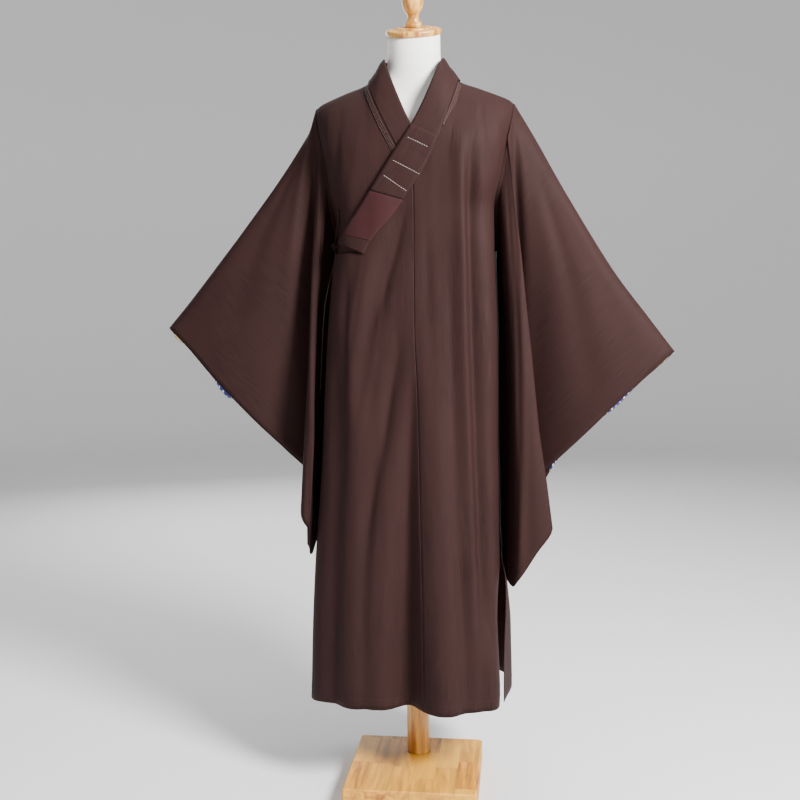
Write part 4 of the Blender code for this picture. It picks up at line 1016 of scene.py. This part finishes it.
foldRows = []  # where each fold is stitched down
for (name, over, last), stations in zip(collar["folds"], (overStations, underStations)):
    outer, inner = (edge[4: 4 * last + 1] for edge in stations)
    away = unit(outer - inner)
    distance, rise = np.array(collar["foldProfile"]).T * mm
    narrowed = np.ones(len(outer))
    if over:  # it ends under the collar
        narrowed = 0.2 + 0.8 * smooth((len(outer) - 1 - np.arange(len(outer))) / 12)
    distance = distance * narrowed[:, None]
    x, z = (outer[:, None, k] + away[:, None, k] * distance for k in (0, 1))
    points, normals = onFront(x, z, shoulderRoom(z), over)
    outer, inner = points + normals * rise[None, :, None], points + normals * collar["foldFoot"]
    pieces[name] = cloth(name, outer, inner)
    for k in collar["foldStitches"]:
        foldRows.append((points[:, k] + normals[:, k] * rise[k], normals[:, k]))


def quilting(points):
    # how far the stitch lines pull the cloth in
    dip = 0.0
    for (x0, z0), (x1, z1) in collar["quilt"] + (collar["darkSeam"],):
        run = np.array((x1 - x0, z1 - z0))
        size = math.hypot(*run)
        aside = ((points[..., 0] - x0) * run[1] - (points[..., 2] - z0) * run[0]) / size
        dip = dip + hump(aside, 0, collar["quiltWidth"])
    return dip * collar["quiltDip"]


for name, (first, last, thickness, finish, slotName) in collar["laid"].items():
    points, normals = overPoints[first: last + 1].copy(), overNormals[first: last + 1].copy()
    if name != "collar_patch":
        points[0] += (points[1] - points[0]) * 0.2
    points, normals = points[::-1], normals[::-1]
    rise = np.full(points.shape[:2], seamGap + thickness)
    if name == "collar_patch":
        rise = rise - quilting(points)
    rise[:, [0, -1]] -= 0.35 * thickness  # its edges are pressed down
    outer, inner = points + normals * rise[:, :, None], points + normals * seamGap
    pieces[name] = cloth(name, outer, inner, finish=finish, slotName=slotName)
print("stage: crossed collar laid on")

tie = {
    "tape": 1.2 * mm, "width": 8 * mm, "knotHalfHeight": 10 * mm, "knotOut": 1.2 * mm,
    "knotTurns": 12, "knotLevels": 96, "knotLoop": 2.5 * mm, "tapeHalf": (2.3 * mm, 1.2 * mm),
    "knotSquash": (0.86, 0.9, 1.0),
    "tailRows": 64,
    "tailOff": 0.7 * mm,  # the tail's space to the overlap where it is tied
    "hangsFree": (-6 * mm, -15 * mm, 0.0),  # and how far it hangs clear below the knot
    "hangZ": 1.14,
    # x, z, lift over the wearer's right front
    "strap": ((-0.1500, 1.246, 2.8 * mm), (-0.1510, 1.226, 3.4 * mm), (-0.1530, 1.206, 5.2 * mm)),
    # z, across
    "tail": (
        (0.866, -78.0), (0.910, -77.0), (0.960, -75.0), (1.020, -72.0), (1.080, -68.0), (1.130, -64.0),
        (1.160, -61.0),
    ),
}


def tape(name, route, normals):
    run = np.gradient(route, axis=0)
    sideways = unit(np.cross(run, normals))
    normals = unit(np.cross(sideways, run))
    places = np.linspace(-0.5, 0.5, 7)
    crown = (1 - (2 * np.abs(places)) ** 4) * 0.15 * mm
    outer = route[:, None] + sideways[:, None] * (places * tie["width"])[None, :, None]
    inner = outer - normals[:, None] * tie["tape"]
    outer = outer + normals[:, None] * (crown - 0.15 * mm)[None, :, None]
    return place(wall(name + "_tape", outer, inner, robeCloth), name, "robe_cloth")


def roundTurns(count):
    return 2 * math.pi * np.arange(count) / count


tail = np.array(tie["tail"])
z = np.linspace(tail[-1, 0], tail[0, 0], tie["tailRows"])
across = read(tail, 1, z)
tailLift = robe["overlapLift"] + tie["tape"] + tie["tailOff"]
tailPoints = bodyPoint(across, downAt(across, z), -1, tailLift)
tailNormals = bodyNormal(across, downAt(across, z), -1)
hangs = smooth((tailPoints[:, 2:] - tie["hangZ"]) / -0.10)
tailPoints = tailPoints + hangs * np.array(tie["hangsFree"])
tieTail = tape("tie_tail", tailPoints, tailNormals)
up = np.array((0, 0, 1.0))
knotMiddle = tailPoints[0] + tailNormals[0] * tie["knotOut"] + up * (tie["knotHalfHeight"] + seamGap)
turns = roundTurns(tie["knotLevels"])
loop = np.stack([
    np.sin(turns) + 2 * np.sin(2 * turns), -1.15 * np.sin(3 * turns), np.cos(turns) - 2 * np.cos(2 * turns),
], axis=1) * tie["knotLoop"]  # the tape runs over and under itself three times
ahead = unit(np.roll(loop, -1, axis=0) - np.roll(loop, 1, axis=0))
aside = unit(np.cross(ahead, loop))
above = np.cross(ahead, aside)
roundTape = roundTurns(tie["knotTurns"])[None, :, None]
wide, thick = tie["tapeHalf"]
section = aside[:, None] * np.cos(roundTape) * wide + above[:, None] * np.sin(roundTape) * thick
knotGrain = (loop[:, None] + section) * np.array(tie["knotSquash"])
knotFaces = [face % knotGrain[..., 0].size for face in gridFaces(len(turns) + 1, tie["knotTurns"])]
knotMesh = addMesh("tie_knot_tape", knotMiddle + knotGrain, knotFaces, robeCloth, knotGrain)
tieKnot = place(knotMesh, "tie_knot", "robe_cloth")
strap = np.array(tie["strap"])
along = np.linspace(0, len(strap) - 1, 24)
strapX, strapZ, strapLift = (curve(np.arange(len(strap)), strap[:, k], along) for k in range(3))
strapPoints, strapNormals = onFront(strapX, strapZ, strapLift, False)
knotTop = knotMiddle + up * (tie["knotHalfHeight"] + tie["tape"] + seamGap)
shares = np.linspace(0, 1, 9)[1:, None]
strapPoints = np.concatenate([strapPoints, strapPoints[-1] + (knotTop - strapPoints[-1]) * shares])
strapNormals = np.concatenate([strapNormals, np.repeat(strapNormals[-1:], 8, axis=0)])
tieStrap = tape("tie_strap", strapPoints, strapNormals)
print("stage: side tie knotted")

form = {
    "sides": 72, "neckRadius": 0.0555, "neckTopZ": 1.603, "tilt": math.radians(20), "woodSides": 64,
    "sections": inMetres((
        # z, halfWidth, front, back
        (800, 150, 95, 100), (830, 162, 102, 110), (900, 166, 106, 114), (1000, 156, 98, 104),
        (1080, 142, 92, 96), (1180, 144, 92, 96), (1280, 154, 98, 98), (1350, 166, 96, 94),
        (1410, 178, 82, 84), (1440, 184, 66, 72), (1460, 178, 56, 64), (1475, 152, 52, 60),
        (1488, 116, 51, 56), (1500, 84, 51, 55), (1515, 66, 52, 55), (1535, 58, 54, 55), (1560, 56, 55, 55),
    )),
    "finial": inMetres((
        # radius, height
        (17.5, 0), (18.5, 3), (18, 7), (14, 12), (12, 20), (12.5, 24), (17, 31), (21.5, 41), (22.5, 50),
        (20.5, 61), (15, 71), (8, 77),
    )),
    "cap": inMetres((
        (56, 0), (58.5, 2), (59, 6), (58, 10.5), (54.5, 12), (40, 12.6), (38, 15), (22, 15.5),
    )),
}
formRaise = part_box("dress_form")[0].z - form["sections"][0, 0]


def tilted(x, y, height):
    # a place on the tilted neck: x and y across it, height over its foot
    lean = form["tilt"]
    return np.stack(np.broadcast_arrays(
        x,
        axisY + y * math.cos(lean) - height * math.sin(lean),
        form["neckTopZ"] + formRaise + y * math.sin(lean) + height * math.cos(lean),
    ), axis=-1)


def lathed(name, profile, foot):
    # the corners of the profile are rounded by rows close beside them
    turns = roundTurns(form["woodSides"])[None, :]
    places = np.linspace(0, len(profile) - 1, (len(profile) - 1) * 5 + 1)
    radius, height = (curve(np.arange(len(profile)), profile[:, k], places)[:, None] for k in (0, 1))
    rings = tilted(radius * np.cos(turns), radius * np.sin(turns), foot + height + 0 * turns)
    return place(stacked(name + "_wood", rings, capWood), name, "turned_wood")


levels = form["sections"][:, 0]
zRows = [np.linspace(a, b, 5, endpoint=False) for a, b in zip(levels, levels[1:])]
zRows = np.concatenate(zRows + [levels[-1:]])
halves, fronts, backs = (read(form["sections"], k, zRows)[:, None] for k in (1, 2, 3))
squared = robe["squareness"] * smooth((1.47 - zRows) / 0.05)[:, None]
turns = roundTurns(form["sides"])[None, :]
x = (np.cos(turns) - squared * np.cos(3 * turns)) / (1 - squared)
y = (np.sin(turns) + squared * np.sin(3 * turns)) / (1 - squared)
formRings = np.stack([
    halves * x, axisY + np.where(y > 0, backs, fronts) * y, zRows[:, None] + formRaise + 0 * turns,
], axis=-1)
neckRing = tilted(form["neckRadius"] * np.cos(turns), form["neckRadius"] * np.sin(turns), 0 * turns)
between = [formRings[-1] + (neckRing[0] - formRings[-1]) * share for share in (0.25, 0.5, 0.75)]
formRings = np.concatenate([formRings, np.array(between), neckRing])
dressForm = stacked("dress_form_linen", formRings, formLinen, grainOf(formRings))
place(dressForm, "dress_form", "form_linen")
lathed("neck_cap", form["cap"], seamGap)
lathed("finial", form["finial"], seamGap + form["cap"][-1, 1] + seamGap)
for name, finish in (("stand_pole", capWood), ("stand_base", baseWood)):
    for slotHere in bpy.data.objects[name].material_slots:
        slotHere.material = finish
print("stage: form, cap, finial and stand")

thread = {"length": 3.6 * mm, "gap": 1.6 * mm, "radius": 0.42 * mm, "rise": 0.45 * mm, "sides": 6}
edgeThread = {"length": 2.6 * mm, "gap": 1.6 * mm, "radius": 0.28 * mm, "rise": 0.22 * mm, "sides": 5}
# A stitch from end to end: share of its length, of its rise over the cloth, of its radius.
stitchForm = np.array((
    (0.0, -0.5, 0.5), (0.16, 0.6, 0.95), (0.5, 1.0, 1.0), (0.84, 0.6, 0.95), (1.0, -0.5, 0.5),
))
seams = {
    "hemTurn": 0.022, "cuffTurn": 0.012, "tailEdge": 3.2 * mm,
    "edgeColumns": (1, 11), "laidRows": ((36, 64), (65, 96), (97, 109)), "frontColumn": 2,
}


def stitchRow(path, normals, look):
    # points and faces of the stitches along a path on the cloth
    run = walked(path)
    pitch = look["length"] + look["gap"]
    count = int((run[-1] - look["gap"]) / pitch)
    starts = (run[-1] - (count * pitch - look["gap"])) / 2 + np.arange(count) * pitch
    at = starts[:, None] + stitchForm[:, 0] * look["length"]
    spot, out = pathAt(at, run, path), unit(pathAt(at, run, normals))
    ahead = unit(spot[:, -1:] - spot[:, :1])
    aside = unit(np.cross(ahead, out))
    spot = spot + out * (stitchForm[:, 1] * look["rise"])[None, :, None]
    turns = roundTurns(look["sides"])[None, None, :, None]
    ring = aside[:, :, None] * np.cos(turns) + out[:, :, None] * np.sin(turns)
    points = spot[:, :, None] + ring * (stitchForm[:, 2] * look["radius"])[None, :, None, None]
    faces = []
    sides, levels = look["sides"], len(stitchForm)
    for base in np.arange(count) * sides * levels:
        last = base + (levels - 1) * sides
        faces += [face + base for face in gridFaces(levels, sides)]
        faces += [range(base, base + sides)[::-1], range(last, last + sides)]
    return points.reshape(-1, 3), faces


def stitches(name, rows, finish, look):
    points, faces, start = [], [], 0
    for path, normals in rows:
        some, theirs = stitchRow(path, normals, look)
        points.append(some)
        faces += [[k + start for k in face] for face in theirs]
        start += len(some)
    return place(addMesh(name, np.concatenate(points), faces, finish), None, "robe_cloth")


def onPatch(line):
    (x0, z0), (x1, z1) = line
    share = np.linspace(0.02, 0.98, 40)
    height = bandHeight + seamGap + (collar["laid"]["collar_patch"][2] - collar["quiltDip"])
    return onFront(x0 + (x1 - x0) * share, z0 + (z1 - z0) * share, height, True)


patchStitches = stitches("patch_stitches", [onPatch(line) for line in collar["quilt"]], whiteThread, thread)
brownRows = [onPatch(collar["darkSeam"])]
aboveRow = len(overPoints) - collar["laid"]["collar_patch"][0]
for k in seams["edgeColumns"]:  # along both edges of the band above the patch
    brownRows.append((band[aboveRow:, k], bandNormals[aboveRow:, k]))
for k in seams["edgeColumns"]:  # and along each part laid over the band
    for (first, last), laid in zip(seams["laidRows"], collar["laid"].values()):
        normals, thickness = overNormals[first:last, k], laid[2]
        brownRows.append((overPoints[first:last, k] + normals * (thickness + seamGap), normals))
for points, normals in panels.values():  # the turned hem
    rowsUp = seams["hemTurn"] / np.linalg.norm(points[-1] - points[-3], axis=1).mean() * 2
    low = int(rowsUp)
    mixed = points[-1 - low] + (points[-2 - low] - points[-1 - low]) * (rowsUp - low)
    brownRows.append((mixed, normals[-1 - low]))
# beside the centre front seam, from below the collar
brownRows.append(tuple(grid[20:, seams["frontColumn"]] for grid in panels["front_left_panel"]))
for rings, facing in sleeves.values():  # the turned cuff
    inward = seams["cuffTurn"] / np.linalg.norm(rings[-1] - rings[-2], axis=1)[:, None]
    path = rings[-1] + (rings[-2] - rings[-1]) * np.minimum(inward, 1.0)
    brownRows.append((np.concatenate([path, path[:1]]), np.concatenate([facing[-1], facing[-1][:1]])))
edgeStitches = stitches("edge_stitches", brownRows, brownThread, edgeThread)
tailAside = unit(np.cross(np.gradient(tailPoints, axis=0), tailNormals))
tailAside = -tailAside * np.sign(tailAside[:, 1:2])
foldRows.append((tailPoints + tailAside * seams["tailEdge"], tailNormals))
foldStitches = stitches("fold_stitches", foldRows, foldThread, edgeThread)
print("stage: stitches sewn")

cuffBand = {
    "from": 1 * mm, "width": 46 * mm, "off": 0.4 * mm, "wall": 0.5 * mm, "rows": 10,
    "halfRows": (32.4, 39.6),  # only this stretch can be seen
    "gold": (37.6, 39.6),  # and this of it is gold
}


def halfRowPlaces(stretch, around):
    return [halfRow * around / sleeve["halfRows"] for halfRow in stretch]


def cuffBandPiece(name, rings, facing):
    # a printed band sewn inside the back layer of a cuff
    around = rings.shape[1]
    first, last = halfRowPlaces(cuffBand["halfRows"], around)
    goldFrom, goldTo = halfRowPlaces(cuffBand["gold"], around)
    places = np.arange(int(first), int(last) + 1) % around
    depth = np.linspace(cuffBand["from"], cuffBand["from"] + cuffBand["width"], cuffBand["rows"])
    inside = rings - facing * (robe["clothWall"] + cuffBand["off"])
    lines, normals = [], []
    for k in places:
        run = walked(inside[::-1, k])
        for grid, found in ((inside, lines), (facing, normals)):
            found.append(pathAt(depth, run, grid[::-1, k]))
    outer, normals = np.array(lines), unit(np.array(normals))
    isGold = (places >= goldFrom) & (places <= goldTo)
    grain = np.stack(np.broadcast_arrays(walked(outer[:, 0])[:, None], depth, isGold[:, None]), axis=-1)
    made = wall(name, outer, outer - normals * cuffBand["wall"], cuffPrint, grain=grain)
    return place(made, None, "robe_cloth"), float(walked(outer[:, 4])[-1])


cuffBands = [cuffBandPiece(name.replace("sleeve", "cuff_band"), *grids) for name, grids in sleeves.items()]
print("stage: printed bands inside the cuffs")

# The floor turns up into a wall all round, so no edge shows behind the robe.
bend = np.linspace(0, math.pi / 2, 13)
profile = [(5.0, 0.0)] + [(5.5 + 2.5 * math.sin(t), 2.5 - 2.5 * math.cos(t)) for t in bend] + [(8.0, 7.0)]
floorRings = np.array([[(r * math.cos(t), r * math.sin(t), z) for t in roundTurns(96)] for r, z in profile])
floor = addMesh("floor", floorRings, gridFaces(len(floorRings), 96) + [range(96)[::-1]], floorPaint)
floor.data.flip_normals()  # it looks inward

studio = {
    "eye": (0.235, -2.204, 1.049), "yaw": 6.8, "pitch": -5.2, "roll": -0.46, "lens": 47.25, "sensor": 36.0,
    "sky": "#f4f4f5", "skyStrength": 0.29,
    "lights": (
        # name, place, aim, size, watts
        ("keyLight", (2.0, -1.7, 2.5), (0.05, 0.0, 1.2), 1.0, 355.0),
        ("fillLight", (-2.6, -2.2, 1.7), (0.0, 0.0, 0.9), 2.2, 14.0),
        ("topLight", (0.0, 0.3, 3.6), (0.0, 0.0, 1.0), 2.4, 45.0),
        ("backLight", (-1.4, 3.2, 2.2), (0.0, 0.0, 0.9), 2.2, 70.0),
    ),
}
for name, spot, aim, size, watts in studio["lights"]:
    lamp = bpy.data.lights.new(name, "AREA")
    lamp.shape = "DISK"
    lamp.size = size
    lamp.energy = watts
    holder = bpy.data.objects.new(name, lamp)
    holder.location = spot
    holder.rotation_euler = (Vector(aim) - Vector(spot)).to_track_quat("-Z", "Y").to_euler()
    bpy.context.scene.collection.objects.link(holder)
world = bpy.data.worlds.new("studio")
bpy.context.scene.world = world
world.use_nodes = True
sky = world.node_tree.nodes["Background"].inputs
sky["Color"].default_value = linear(studio["sky"])
sky["Strength"].default_value = studio["skyStrength"]

camera = bpy.data.objects.new("camera", bpy.data.cameras.new("camera"))
camera.data.lens = studio["lens"]
camera.data.sensor_width = studio["sensor"]
turnTo = Matrix.Translation(studio["eye"])
for degrees, axis in ((studio["yaw"], "Z"), (90 + studio["pitch"], "X"), (studio["roll"], "Z")):
    turnTo = turnTo @ Matrix.Rotation(math.radians(degrees), 4, axis)
camera.matrix_world = turnTo
bpy.context.scene.collection.objects.link(camera)
bpy.context.scene.camera = camera
bpy.context.view_layer.update()
print("stage: lights and camera")
